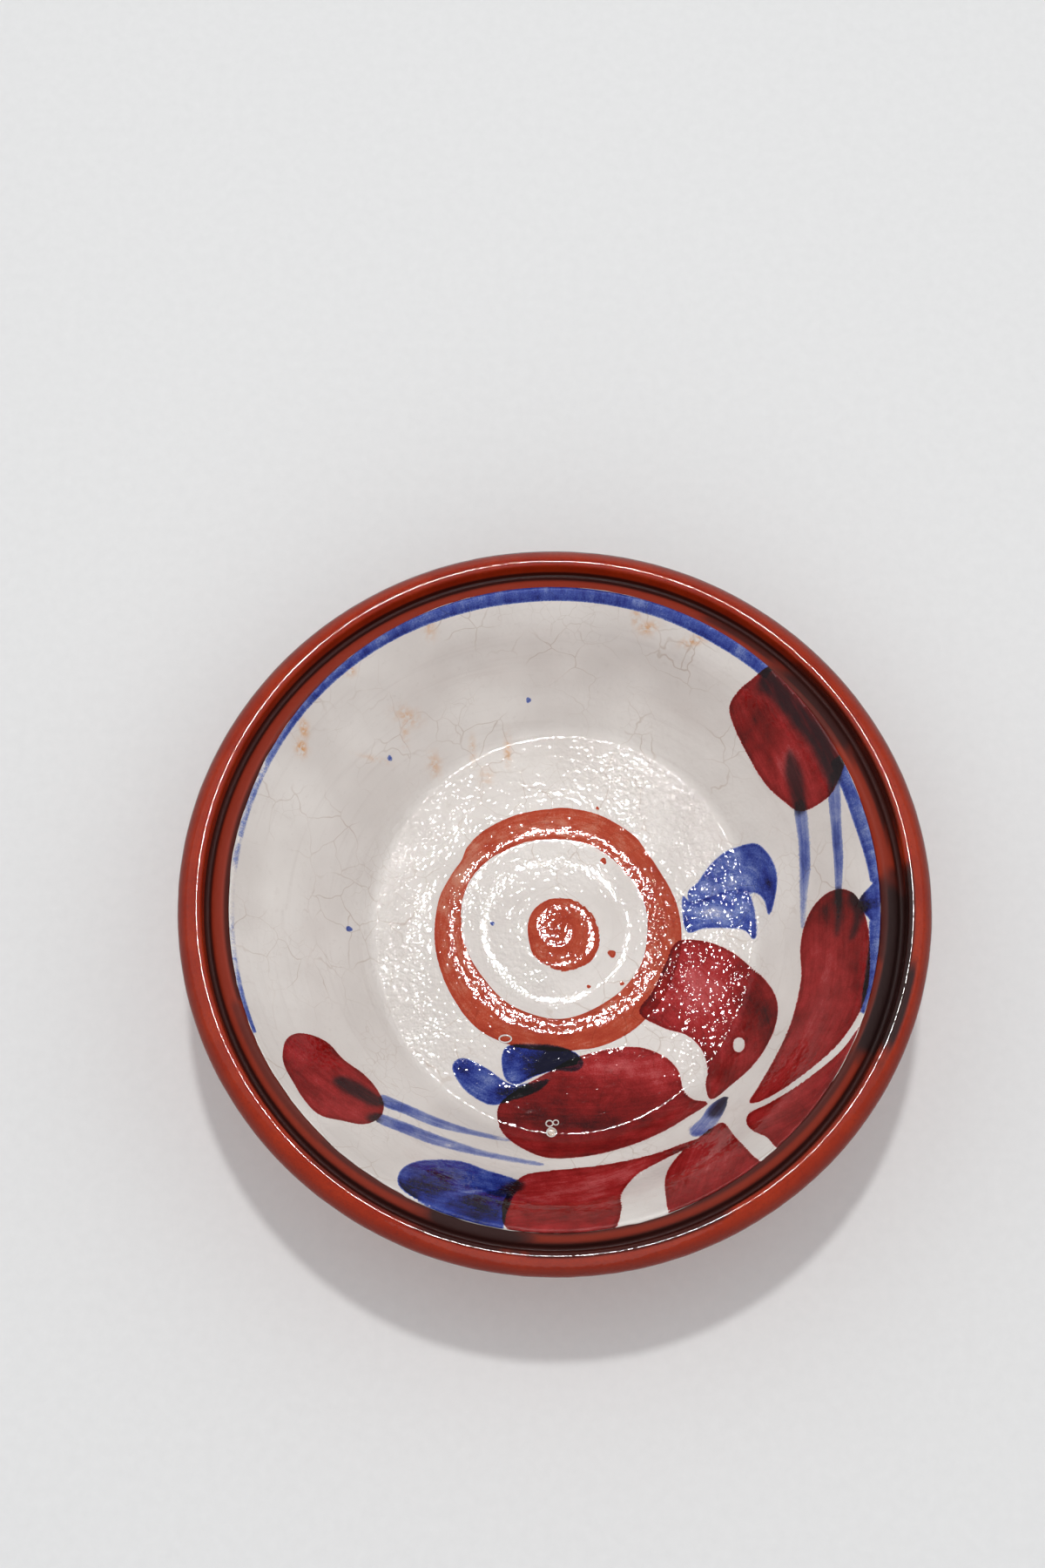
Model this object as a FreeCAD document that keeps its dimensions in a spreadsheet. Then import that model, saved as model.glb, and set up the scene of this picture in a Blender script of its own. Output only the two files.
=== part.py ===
import FreeCAD, Part
import math
import os
import Sketcher

# A small wheel-thrown bowl of red earthenware. The clay body has a rolled bead at the rim, a groove
# and a flat ledge inside it, a sloping wall, a flat floor and a turned foot ring. A white slip lines the
# inside up to the ledge. On the slip lie a ring and a dot of red slip and a spray of brush strokes in
# red and blue, each one a thin film that follows the curve of the bowl.
# Millimetres, +Z up, origin on the table under the middle of the foot.

SIZES = [
    ("rim_radius", 75.0, "outside of the rolled bead"),
    ("overall_height", 39.0, "table to the top of the bead"),
    ("bead_radius", 2.6, "round of the rolled bead"),
    ("groove_run", 0.5, "bead to the groove's floor, measured along the radius"),
    ("groove_drop", 1.5, "bead's core to the groove's floor"),
    ("ledge_step", 1.3, "groove's floor to the ledge, measured along the radius"),
    ("ledge_drop", 0.8, "bead's core to the ledge's outer edge"),
    ("ledge_width", 2.9, "ledge, to the top of the lined wall"),
    ("ledge_dip", 0.1, "how much the ledge falls towards the middle"),
    ("floor_radius", 38.3, "flat floor, to the foot of the wall"),
    ("floor_height", 9.7, "clay floor above the table"),
    ("neck_run", 2.9, "underside of the bead to the outer wall, inwards"),
    ("neck_drop", 1.2, "underside of the bead to the outer wall, downwards"),
    ("belly_bulge", 2.4, "hang of the outer wall's middle below a straight line"),
    ("foot_set_in", 1.5, "floor's edge to the outside of the foot ring, inwards"),
    ("foot_flare", 1.6, "foot ring to the outer wall, along the radius"),
    ("foot_height", 4.6, "table to the outer wall at the foot"),
    ("foot_width", 6.6, "foot ring, outside to inside"),
    ("foot_bevel", 0.6, "worn outer corner of the foot ring"),
    ("foot_taper", 0.8, "slope of the foot ring's inside"),
    ("recess_depth", 3.2, "turned recess inside the foot ring"),
    ("slip_depth", 0.35, "white slip on the clay"),
    ("paint_depth", 0.25, "colour and glaze over the slip"),
    ("ring_radius", 25.9, "outside of the red ring on the floor"),
    ("ring_shift_side", 0.9, "ring's outside, off the middle to the right"),
    ("ring_shift_far", 1.1, "ring's outside, off the middle to the far side"),
    ("ring_width", 6.7, "width of the red ring's band"),
    ("ring_hole_shift", 0.5, "inside of the ring, off the middle both ways"),
    ("dot_radius", 7.4, "red dot in the middle"),
    ("dot_shift_side", 2.0, "dot, off the middle to the right"),
    ("dot_shift_near", 0.9, "dot, off the middle to the near side"),
]

# The painter's layout is drawn in steps from the middle: some to the outside of the red ring, and the
# rest from there to the slip's edge. Shares below are in those steps: x to the right, y away from the
# viewer.
STEPS_TO_RING_SHARE = 25.9
STEPS_TO_EDGE_SHARE = 65.0

# Closed outlines of the brush strokes.
STROKE_SHARES = {
    "red_bud_upper": [
        (36.9, 42.5), (38.2, 45.3), (41.0, 47.2), (45.0, 48.6), (50.0, 44.0), (55.5, 36.5), (59.0, 29.5),
        (57.3, 24.0), (55.3, 21.8), (51.2, 20.6), (48.0, 23.3), (44.4, 27.6), (40.9, 33.7), (38.5, 38.3)],
    "red_bud_left": [
        (-53.5, -31.5), (-53.2, -28.0), (-51.4, -26.0), (-48.5, -25.7), (-45.2, -27.0), (-42.3, -30.1),
        (-38.2, -33.0), (-35.4, -36.4), (-34.1, -40.0), (-35.0, -42.8), (-37.6, -44.4), (-41.5, -44.1),
        (-45.9, -43.3), (-49.0, -40.3), (-51.2, -36.8), (-52.8, -34.0)],
    "red_petal_inner": [
        (17.7, -17.6), (20.6, -13.0), (23.2, -7.5), (25.7, -2.6), (30.5, -2.2), (35.5, -3.8), (39.6, -7.4),
        (43.3, -12.0), (45.5, -17.3), (45.2, -22.5), (43.0, -27.6), (39.8, -31.9), (35.8, -35.2),
        (31.8, -38.0), (30.9, -34.6), (31.5, -30.5), (30.3, -26.0), (27.3, -22.4), (22.6, -20.8)],
    "red_petal_long": [
        (57.3, 3.4), (54.0, 1.8), (51.6, -2.3), (50.5, -7.6), (50.3, -14.0), (48.2, -22.3), (45.0, -29.4),
        (41.0, -36.2), (38.7, -40.0), (42.0, -39.3), (48.0, -35.6), (55.1, -29.8), (59.8, -23.2),
        (61.9, -16.6), (62.5, -7.3), (61.7, -1.8), (60.2, 1.9)],
    "red_petal_outer_right": [
        (37.6, -44.4), (38.5, -42.2), (42.2, -40.4), (48.4, -36.7), (55.6, -31.2), (60.5, -25.2),
        (64.0, -22.0), (64.0, -28.0), (55.0, -41.5), (45.8, -50.5), (42.6, -50.6), (40.8, -47.9),
        (38.6, -46.3)],
    "red_petal_outer_near": [
        (33.6, -44.0), (35.4, -47.5), (38.0, -51.8), (40.2, -55.0), (34.0, -60.5), (27.0, -63.8),
        (22.0, -64.2), (21.0, -58.8), (21.6, -54.4), (24.4, -50.5), (28.7, -46.7), (31.6, -44.6)],
    "red_petal_big": [
        (12.3, -25.1), (18.0, -25.0), (22.8, -27.0), (25.5, -30.6), (26.4, -34.8), (28.2, -37.4),
        (31.0, -38.8), (27.0, -41.4), (21.6, -44.5), (15.0, -47.2), (7.3, -49.2), (-1.0, -49.8),
        (-6.6, -47.5), (-10.3, -44.2), (-11.6, -40.6), (-10.9, -36.8), (-7.0, -33.4), (-1.0, -30.0),
        (4.0, -27.2)],
    "red_petal_near": [
        (30.0, -47.0), (26.6, -47.4), (19.4, -49.7), (10.0, -51.5), (-2.0, -53.0), (-6.8, -54.6),
        (-9.5, -58.3), (-10.4, -61.8), (-9.0, -66.0), (0.0, -67.5), (10.0, -66.4), (12.4, -62.0),
        (12.7, -58.5), (16.0, -54.4), (21.6, -51.2), (26.5, -48.9)],
    "blue_leaf_arch": [
        (31.2, 10.4), (32.3, 12.9), (34.6, 15.3), (38.0, 16.6), (42.3, 16.7), (44.7, 14.3), (46.2, 11.0),
        (46.6, 8.0), (46.1, 4.5), (45.0, 1.2), (44.3, 4.4), (42.8, 7.6), (40.8, 9.5), (37.6, 10.2),
        (34.0, 9.4)],
    "blue_leaf_base": [
        (27.3, 7.4), (28.8, 6.2), (32.0, 7.4), (36.5, 9.0), (40.2, 8.4), (41.9, 4.6), (42.5, -0.3),
        (42.0, -3.2), (40.0, -0.7), (36.0, 0.4), (31.4, 0.4), (28.2, -0.4), (27.2, 3.0)],
    "blue_leaf_by_ring": [
        (-10.6, -29.0), (-10.5, -26.0), (-8.8, -24.4), (-4.0, -24.2), (1.0, -24.7), (4.6, -26.2),
        (6.0, -28.3), (4.4, -29.8), (0.0, -29.7), (-4.0, -30.9), (-7.5, -32.5), (-9.8, -31.6)],
    "blue_leaf_small": [
        (-20.8, -29.3), (-20.0, -27.5), (-17.8, -27.3), (-13.7, -29.4), (-9.0, -33.0), (-5.0, -33.2),
        (-2.3, -34.0), (-5.5, -35.2), (-10.0, -36.8), (-13.6, -37.4), (-17.0, -35.3), (-19.5, -32.4)],
    "blue_leaf_near": [
        (-30.3, -56.8), (-30.0, -54.0), (-27.6, -52.0), (-24.0, -51.3), (-18.7, -51.4), (-13.7, -53.2),
        (-7.2, -55.6), (-8.4, -58.8), (-9.6, -62.4), (-11.0, -66.5), (-17.0, -65.2), (-24.0, -61.8),
        (-28.4, -59.0)],
    "blue_knot": [
        (34.6, -37.8), (34.0, -40.8), (32.4, -43.6), (30.4, -46.0), (27.6, -46.2), (27.2, -44.4),
        (29.6, -42.0), (31.4, -39.4)],
    "blue_blot_right": [
        (61.4, 0.6), (63.3, 2.6), (66.0, 5.0), (67.0, 0.0), (66.0, -5.0), (63.6, -5.0), (62.3, -3.2),
        (61.3, -1.2)],
    "blue_stem_upper_inner": [
        (50.0, 22.0), (50.8, 15.0), (51.0, 9.0), (50.9, 4.0), (50.9, 0.6), (51.4, 0.6), (52.1, 4.0),
        (52.7, 9.0), (52.6, 15.0), (51.8, 22.0)],
    "blue_stem_upper_outer": [
        (56.0, 23.6), (56.7, 15.0), (57.1, 9.0), (57.3, 3.0), (58.1, 3.0), (58.6, 9.0), (58.4, 15.0),
        (57.9, 23.6)],
    "blue_stem_left_upper": [
        (-35.6, -37.9), (-30.0, -38.9), (-24.0, -41.4), (-17.0, -43.7), (-9.6, -45.3), (-9.8, -45.9),
        (-17.6, -44.9), (-24.6, -43.4), (-30.2, -41.1), (-35.2, -39.8)],
    "blue_stem_left_lower": [
        (-36.4, -42.0), (-31.2, -42.8), (-24.0, -45.5), (-14.6, -48.5), (-3.4, -50.9), (-3.6, -51.5),
        (-14.4, -49.9), (-24.2, -47.8), (-30.6, -45.4), (-35.6, -43.8)],
}

# The blue band hangs from the slip's edge. Each stretch runs from one angle to another, in degrees
# from the right hand side, and has its width, in steps, at its start, its middle and its end.
BAND_SHARES = {
    "blue_band_far": (47.0, 205.0, (2.0, 1.7, 0.3)),
    "blue_band_right": (3.0, 27.0, (1.3, 2.1, 1.8)),
    "blue_band_near": (-19.5, -4.0, (0.5, 1.5, 1.9)),
}

# No two films lie on each other: where strokes cross, one of them stops at the other's edge. The ring
# is banded round in one go and stays whole.
CROSSED_BY = {
    "red_petal_inner": ["red_slip_ring", "blue_knot"],
    "red_petal_long": ["blue_blot_right"],
    "red_petal_outer_right": ["red_petal_long"],
    "red_petal_outer_near": ["blue_knot"],
    "red_petal_big": ["red_slip_ring", "blue_leaf_by_ring", "blue_leaf_small", "blue_knot"],
    "red_petal_near": ["blue_leaf_near", "blue_knot"],
    "blue_leaf_base": ["red_slip_ring", "blue_leaf_arch"],
    "blue_leaf_by_ring": ["red_slip_ring"],
    "blue_leaf_small": ["red_slip_ring", "blue_leaf_by_ring"],
    "blue_stem_upper_inner": ["red_bud_upper", "red_petal_long"],
    "blue_stem_upper_outer": ["red_bud_upper", "red_petal_long"],
    "blue_stem_left_upper": ["red_bud_left", "red_petal_big"],
    "blue_stem_left_lower": ["red_bud_left", "red_petal_big"],
    "blue_band_far": ["red_bud_upper"],
    "blue_band_right": ["red_bud_upper", "blue_blot_right"],
    "blue_band_near": ["blue_blot_right", "red_petal_long", "red_petal_outer_right"],
}

# Each outline is a smooth closed curve cut into short straight runs, about this many steps long. A band
# bends less, so its runs are longer.
OUTLINE_RUN_SHARE = 4.5
BAND_RUN_SHARE = 8.0

# The round of the bead is turned in narrow flats: from its inside, over the top and round to its
# underside, in degrees from the outward direction.
BEAD_START_DEGREES = 180.0
BEAD_END_DEGREES = -90.0
BEAD_FLAT_DEGREES = 30.0

# The bend in the outer wall, as a share of its way from the foot to the neck.
BELLY_SHARE = 0.45

doc = FreeCAD.newDocument("bowl")


def make_sheet():
    sheet = doc.addObject("Spreadsheet::Sheet", "sizes")
    for row, (name, value, note) in enumerate(SIZES, start=1):
        sheet.set("A%d" % row, name)
        sheet.set("B%d" % row, str(value))
        sheet.set("C%d" % row, note)
        sheet.setAlias("B%d" % row, name)
    doc.recompute()
    return sheet


sizes = make_sheet()

# Corners of the section, as expressions in the sheet's names: distance from the axis and height.
BEAD_X = "(sizes.rim_radius - sizes.bead_radius)"
BEAD_Z = "(sizes.overall_height - sizes.bead_radius)"
BEAD_INSIDE = "(sizes.rim_radius - 2 * sizes.bead_radius)"
GROOVE_X = "(%s - sizes.groove_run)" % BEAD_INSIDE
GROOVE_Z = "(%s - sizes.groove_drop)" % BEAD_Z
LEDGE_Z = "(%s - sizes.ledge_drop)" % BEAD_Z
LEDGE_X = "(%s - sizes.ledge_step)" % GROOVE_X
EDGE_X = "(%s - sizes.ledge_width)" % LEDGE_X
EDGE_Z = "(%s - sizes.ledge_dip)" % LEDGE_Z
FOOT_OUTSIDE = "(sizes.floor_radius - sizes.foot_set_in)"
FOOT_TOP_X = "(%s + sizes.foot_flare)" % FOOT_OUTSIDE
FOOT_INSIDE = "(%s - sizes.foot_width)" % FOOT_OUTSIDE


def value_of(expression):
    found = sizes.evalExpression(expression)
    return float(getattr(found, "Value", found))


def bead_corner(angle):
    across = "(%s + sizes.bead_radius * cos(%g deg))" % (BEAD_X, angle)
    height = "(%s + sizes.bead_radius * sin(%g deg))" % (BEAD_Z, angle)
    return across, height


def bead_path(start, end):
    count = round((start - end) / BEAD_FLAT_DEGREES)
    return [bead_corner(start - index * BEAD_FLAT_DEGREES) for index in range(count + 1)]


def lined_path():
    """The clay under the slip, from the axis over the floor and up the wall to the slip's edge."""
    return [("0", "sizes.floor_height"), ("sizes.floor_radius", "sizes.floor_height"), (EDGE_X, EDGE_Z)]


def rim_path():
    """The ledge, the groove and the bead."""
    return [(LEDGE_X, LEDGE_Z), (GROOVE_X, GROOVE_Z)] + bead_path(BEAD_START_DEGREES, BEAD_END_DEGREES)


def outer_path():
    """Down the outside from under the bead, round the foot ring and in to the axis."""
    under_x, under_z = bead_corner(BEAD_END_DEGREES)
    neck = ("(%s - sizes.neck_run)" % under_x, "(%s - sizes.neck_drop)" % under_z)
    belly_x = "(%s + %g * (%s - %s))" % (FOOT_TOP_X, BELLY_SHARE, neck[0], FOOT_TOP_X)
    belly_z = "(sizes.foot_height + %g * (%s - sizes.foot_height))" % (BELLY_SHARE, neck[1])
    belly = (belly_x, "(%s - sizes.belly_bulge)" % belly_z)
    foot_ring = [
        (FOOT_OUTSIDE, "sizes.foot_bevel"),
        ("(%s - sizes.foot_bevel)" % FOOT_OUTSIDE, "0"),
        (FOOT_INSIDE, "0"),
        ("(%s - sizes.foot_taper)" % FOOT_INSIDE, "sizes.recess_depth"),
        ("0", "sizes.recess_depth"),
    ]
    return [neck, belly, (FOOT_TOP_X, "sizes.foot_height")] + foot_ring


def layer(low, high):
    """The lined path lifted by two heights: the section of a layer on it."""
    bottom = [(across, "(%s + %s)" % (height, low)) for across, height in lined_path()]
    top = [(across, "(%s + %s)" % (height, high)) for across, height in lined_path()]
    return bottom + top[::-1]


def bind(sketch, kind, index, name, expression):
    """Hold the start of a line at a distance from the axis or from the table."""
    held = Sketcher.Constraint(kind, -1, 1, index, 1, value_of(expression))
    number = sketch.addConstraint(held)
    sketch.renameConstraint(number, name)
    sketch.setExpression("Constraints." + name, expression)


def draw_section(sketch, corners):
    """A closed section whose corners are bound to the sheet."""
    points = [FreeCAD.Vector(value_of(across), value_of(height), 0) for across, height in corners]
    for start, end in zip(points, points[1:] + points[:1]):
        sketch.addGeometry(Part.LineSegment(start, end))
    for index, (across, height) in enumerate(corners):
        follower = (index + 1) % len(corners)
        sketch.addConstraint(Sketcher.Constraint("Coincident", index, 2, follower, 1))
        if across == "0":
            sketch.addConstraint(Sketcher.Constraint("PointOnObject", index, 1, -2))
        else:
            bind(sketch, "DistanceX", index, "across%d" % index, across)
        if height == "0":
            sketch.addConstraint(Sketcher.Constraint("PointOnObject", index, 1, -1))
        else:
            bind(sketch, "DistanceY", index, "height%d" % index, height)


def turned_body(label, corners):
    """A body turned on the axis from one section, as on the wheel."""
    body = doc.addObject("PartDesign::Body", label)
    sketch = body.newObject("Sketcher::SketchObject", label + "_section")
    plane = [item for item in body.Origin.OriginFeatures if item.Role == "XZ_Plane"][0]
    sketch.AttachmentSupport = (plane, [""])
    sketch.MapMode = "FlatFace"
    draw_section(sketch, corners)
    turn = body.newObject("PartDesign::Revolution", label + "_turning")
    turn.Profile = sketch
    turn.ReferenceAxis = (sketch, ["V_Axis"])
    turn.Angle = 360
    body.Label = label
    return body


def clay_body():
    return turned_body("clay_body", lined_path() + rim_path() + outer_path())


def white_slip_lining():
    return turned_body("white_slip_lining", layer("0", "sizes.slip_depth"))


def paint_film():
    """The layer that every stroke is cut from."""
    return turned_body("paint_film", layer("sizes.slip_depth", "(sizes.slip_depth + sizes.paint_depth)"))


def upright(name, face_shape):
    """A face on the table, drawn up through the bowl's full height."""
    outline = doc.addObject("Part::Feature", name + "_outline")
    outline.Shape = face_shape
    outline.Placement = FreeCAD.Placement()
    prism = doc.addObject("Part::Extrusion", name + "_prism")
    prism.Base = outline
    prism.DirMode = "Custom"
    prism.Dir = FreeCAD.Vector(0, 0, 1)
    prism.setExpression("LengthFwd", "sizes.overall_height + sizes.bead_radius")
    prism.Solid = True
    return prism


def grid_step():
    return value_of(EDGE_X) / STEPS_TO_EDGE_SHARE


def radius_of(steps):
    """How far from the axis a number of steps reaches."""
    ring = value_of("sizes.ring_radius")
    if steps <= STEPS_TO_RING_SHARE:
        return ring * steps / STEPS_TO_RING_SHARE
    beyond_share = (steps - STEPS_TO_RING_SHARE) / (STEPS_TO_EDGE_SHARE - STEPS_TO_RING_SHARE)
    return ring + (value_of(EDGE_X) - ring) * beyond_share


def placed(across_share, away_share):
    steps = math.hypot(across_share, away_share)
    stretch = radius_of(steps) / steps
    return FreeCAD.Vector(across_share * stretch, away_share * stretch, 0)


def in_runs(curve, run_share):
    """The corners of a curve that is cut into even straight runs."""
    runs = round(curve.length() / (run_share * grid_step()))
    return curve.discretize(Number=runs + 1)


def flat_face(corners):
    return Part.Face(Part.makePolygon(corners + [corners[0]]))


def stroke_prism(name):
    points = [placed(x_share, y_share) for x_share, y_share in STROKE_SHARES[name]]
    curve = Part.BSplineCurve()
    curve.interpolate(points, PeriodicFlag=True)
    return upright(name, flat_face(in_runs(curve, OUTLINE_RUN_SHARE)[:-1]))


def on_circle(radius, degrees):
    angle = math.radians(degrees)
    return FreeCAD.Vector(radius * math.cos(angle), radius * math.sin(angle), 0)


def band_prism(name):
    """A band between the slip's edge and an arc through its widths at start, middle and end. It is
    drawn a little past the edge, where the film that it is cut from ends."""
    start, end, width_shares = BAND_SHARES[name]
    edge = value_of(EDGE_X)
    angles = [start, (start + end) / 2, end]
    outer = [on_circle(edge + grid_step(), angle) for angle in angles]
    inner = [on_circle(edge - grid_step() * share, angle) for angle, share in zip(angles, width_shares)]
    arcs = [Part.Arc(*outer), Part.Arc(*inner[::-1])]
    corners = [corner for arc in arcs for corner in in_runs(arc, BAND_RUN_SHARE)]
    return upright(name, flat_face(corners))


def round_face(radius, side, far):
    centre = FreeCAD.Vector(value_of(side), value_of(far), 0)
    circle = Part.Circle(centre, FreeCAD.Vector(0, 0, 1), value_of(radius))
    return flat_face(in_runs(circle, OUTLINE_RUN_SHARE)[:-1])


def boolean(kind, name, base, tool):
    result = doc.addObject("Part::" + kind, name)
    result.Base = base
    result.Tool = tool
    return result


def ring_prism():
    outer = round_face("sizes.ring_radius", "sizes.ring_shift_side", "sizes.ring_shift_far")
    hole_radius = "(sizes.ring_radius - sizes.ring_width)"
    inner = round_face(hole_radius, "sizes.ring_hole_shift", "sizes.ring_hole_shift")
    return upright("red_slip_ring", outer.cut(inner))


def dot_prism():
    return upright("red_slip_dot", round_face("sizes.dot_radius", "sizes.dot_shift_side",
                                              "-sizes.dot_shift_near"))


def laid_on(name, prism, film, prisms):
    """The film under an outline, less what the strokes that cross it take."""
    crossing = [prisms[other] for other in CROSSED_BY.get(name, [])]
    if not crossing:
        part = boolean("Common", name, prism, film)
    else:
        tool = crossing[0]
        if len(crossing) > 1:
            tool = doc.addObject("Part::MultiFuse", name + "_crossing")
            tool.Shapes = crossing
        part = boolean("Cut", name, boolean("Common", name + "_whole", prism, film), tool)
    part.Label = name
    return part


def painted_parts():
    film = paint_film()
    prisms = {"red_slip_ring": ring_prism(), "red_slip_dot": dot_prism()}
    for name in BAND_SHARES:
        prisms[name] = band_prism(name)
    for name in STROKE_SHARES:
        prisms[name] = stroke_prism(name)
    return [laid_on(name, prism, film, prisms) for name, prism in prisms.items()]


def check(parts):
    for item in doc.Objects:
        bad = [state for state in item.State if state in ("Invalid", "Error")]
        if bad:
            raise RuntimeError("%s is %s" % (item.Name, bad))
    for part in parts:
        if part.Shape.isNull() or not part.Shape.isValid() or not part.Shape.Solids:
            raise RuntimeError("%s has no sound solid" % part.Label)


parts = [clay_body(), white_slip_lining()] + painted_parts()
doc.recompute()
check(parts)
os.makedirs("parts", exist_ok=True)
for part in parts:
    part.Shape.exportStep("parts/%s.step" % part.Label)
    print("%-24s %d solid(s) %10.3f mm3" % (part.Label, len(part.Shape.Solids), part.Shape.Volume))
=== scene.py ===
import math
from itertools import product

import bpy
import numpy as np
from mathutils import Matrix, Vector
from mathutils.geometry import delaunay_2d_cdt


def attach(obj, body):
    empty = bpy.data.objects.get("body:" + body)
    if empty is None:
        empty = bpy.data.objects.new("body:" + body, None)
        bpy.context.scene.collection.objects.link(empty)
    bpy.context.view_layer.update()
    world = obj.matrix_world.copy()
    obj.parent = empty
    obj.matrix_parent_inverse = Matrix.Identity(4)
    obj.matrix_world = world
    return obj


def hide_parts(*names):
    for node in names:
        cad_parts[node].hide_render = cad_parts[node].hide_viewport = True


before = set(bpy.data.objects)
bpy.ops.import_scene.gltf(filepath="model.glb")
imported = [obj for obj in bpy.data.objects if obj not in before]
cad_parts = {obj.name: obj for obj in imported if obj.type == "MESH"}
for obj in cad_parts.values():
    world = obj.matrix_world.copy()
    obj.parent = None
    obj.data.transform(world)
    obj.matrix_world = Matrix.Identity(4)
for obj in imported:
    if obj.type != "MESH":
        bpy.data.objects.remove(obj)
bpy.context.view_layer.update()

MM = 0.001
STEP_TABLE = np.random.default_rng(11).uniform(-1, 1, 4096)

# The lined side of the bowl, in millimetres: distance from the axis and height of the slip's top.
FLOOR_TOP, WALL_TOP, SLIP_EDGE = 10.05, 35.6, 65.1
# The rounding between floor and wall, how far the slip sank there, and the trough along the wall's foot.
FLOOR_ROUND, SINK = 0.6, 0.03
TROUGH_AT, TROUGH_WIDTH, TROUGH_DEPTH = 39.4, 0.8, 0.11
# The lip where the wall turns over to the ledge.
LIP_AT, LIP_HEIGHT, LIP_FALL, LIP_ROUND = 65.8, 36.3, 0.16, 0.06


# Shapes in numbers

def smooth(low, high, value):
    t = np.clip((np.asarray(value, float) - low) / (high - low), 0, 1)
    return t * t * (3 - 2 * t)


def between(start, full, still, gone, value):
    """Nothing before the start and once gone, one from full to still."""
    return smooth(start, full, value) * smooth(gone, still, value)


def grain(points, cell, seed):
    """Smooth random values from -1 to 1 on a lattice of cells, the same at each run."""
    q = np.asarray(points, float) / cell
    base = np.floor(q).astype(np.int64)
    f = q - base
    f = f * f * (3 - 2 * f)
    total = np.zeros(len(q))
    for corner in product((0, 1), repeat=3):
        i = base + np.array(corner)
        key = (i[:, 0] * 73856093) ^ (i[:, 1] * 19349663) ^ (i[:, 2] * 83492791) ^ (seed * 7919)
        total += STEP_TABLE[key & 4095] * np.prod(np.where(corner, f, 1 - f), axis=1)
    return total


def flat_grain(x, y, cell, seed):
    return grain(np.stack([x, y, np.full_like(x, 0.5)], -1), cell, seed)


def spun(radius, turn):
    return radius * np.cos(turn), radius * np.sin(turn)


def round_grain(turn, reach, cell, seed):
    """Random values that close on themselves after a turn."""
    return grain(np.stack([*spun(reach, turn), turn * 0], -1), cell, seed)


# Throwing marks on the floor: distance from their middle, and height. Over the dot they wind inwards.
MARK_RADII = (0, 14.6, 15.4, 19.8, 21.6, 22.4, 26)
MARK_HEIGHTS = (0.6, -0.02, 0.02, -0.18, -0.05, -0.05, -0.21)
MARKS_X, MARKS_Y = 0.7, 0.2
SWIRL_X, SWIRL_PITCH, SWIRL_RISE, SWIRL_WIDTH = 1.6, 4.7, 0.085, 0.14
# The floor's fall or rise towards the wall, in millimetres for each millimetre, every 30 degrees from -180.
TILTS = (-0.016, -0.022, -0.022, -0.03, -0.026, -0.012, -0.014, -0.016, -0.01, -0.018, -0.02, -0.02, -0.016)
TILT_FROM = 25
# The wall's foot is an oval: its middle, its half width from side to side, and how it is longer the other way.
WALL_FOOT_X, WALL_FOOT_Y, WALL_FOOT, WALL_FOOT_SQUEEZE = 2.3, 0.3, 40.3, 0.911


def mark_height(x, y):
    dx, dy = x - MARKS_X, y - MARKS_Y
    radius, turn = np.hypot(dx, dy), np.arctan2(dy, dx)
    wavy = radius + 0.55 * flat_grain(x, y, 9, 4) + 0.35 * flat_grain(x, y, 3.4, 5)
    total = np.zeros_like(radius)
    for offset in (-0.4, 0, 0.4):
        total += np.interp(np.abs(wavy + offset), MARK_RADII, MARK_HEIGHTS) / 3
    reach = np.hypot(x - SWIRL_X, dy) + 0.5 * flat_grain(x, y, 5, 3)
    phase = (reach / SWIRL_PITCH + np.arctan2(dy, x - SWIRL_X) / (2 * np.pi)) % 1
    total += SWIRL_RISE * np.exp(-((phase - 0.5) / SWIRL_WIDTH) ** 2) * smooth(10.5, 6.5, reach)
    tilt = np.interp(np.degrees(turn), np.linspace(-180, 180, len(TILTS)), TILTS)
    return total + tilt * np.maximum(radius - TILT_FROM, 0)


def lined_height(x, y):
    """Height of the slip's top over a place."""
    r = np.hypot(x, y)
    foot = np.hypot(x - WALL_FOOT_X, (y - WALL_FOOT_Y) * WALL_FOOT_SQUEEZE)
    start = WALL_FOOT + (r - foot) * smooth(65, 50, r)
    past = r - start
    slope = (WALL_TOP - FLOOR_TOP) / (SLIP_EDGE - WALL_FOOT)
    bend = (past + np.sqrt(past * past + FLOOR_ROUND)) / 2
    bend = bend - FLOOR_ROUND / 4 / np.maximum(np.abs(past) + 4, 4) * smooth(SLIP_EDGE, 45, r)
    trough = TROUGH_DEPTH * np.exp(-((foot - TROUGH_AT) / TROUGH_WIDTH) ** 2)
    height = FLOOR_TOP + slope * bend - SINK - trough
    height = height + (WALL_TOP - FLOOR_TOP - slope * (SLIP_EDGE - start)) * smooth(55, SLIP_EDGE, r)
    lip = LIP_HEIGHT - LIP_FALL * np.maximum(r - LIP_AT, 0)
    over = height - lip
    height = lip + (over - np.sqrt(over * over + LIP_ROUND)) / 2
    height = height + mark_height(x, y) * smooth(45, 38, foot)
    fine = 0.07 * flat_grain(x, y, 15, 1) + 0.025 * flat_grain(x, y, 3.6, 2)
    return height + fine * smooth(66, 60, r)


# Where the glaze lies thick and dimpled: x, y, half length, half width, turn in degrees, strength.
THICK = [(-34, 2, 20, 6, 93, 1), (-26, 26, 9, 5, 40, 0.7), (24, 27, 17, 7, -42, 0.9), (4, 33, 9, 3, 0, 0.4),
         (35, 2, 16, 7, 95, 0.75), (31, -16, 11, 7, 110, 0.65), (-30, -20, 7, 4, 120, 0.6), (23, 2, 16, 4, 95, 0.6),
         (-14, 10, 8, 4, 55, 0.35), (0, 15, 8, 2.5, 0, 0.25), (-21, 0, 16, 2, 90, 0.3), (27, -29, 5, 3, 40, 0.5)]


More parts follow.
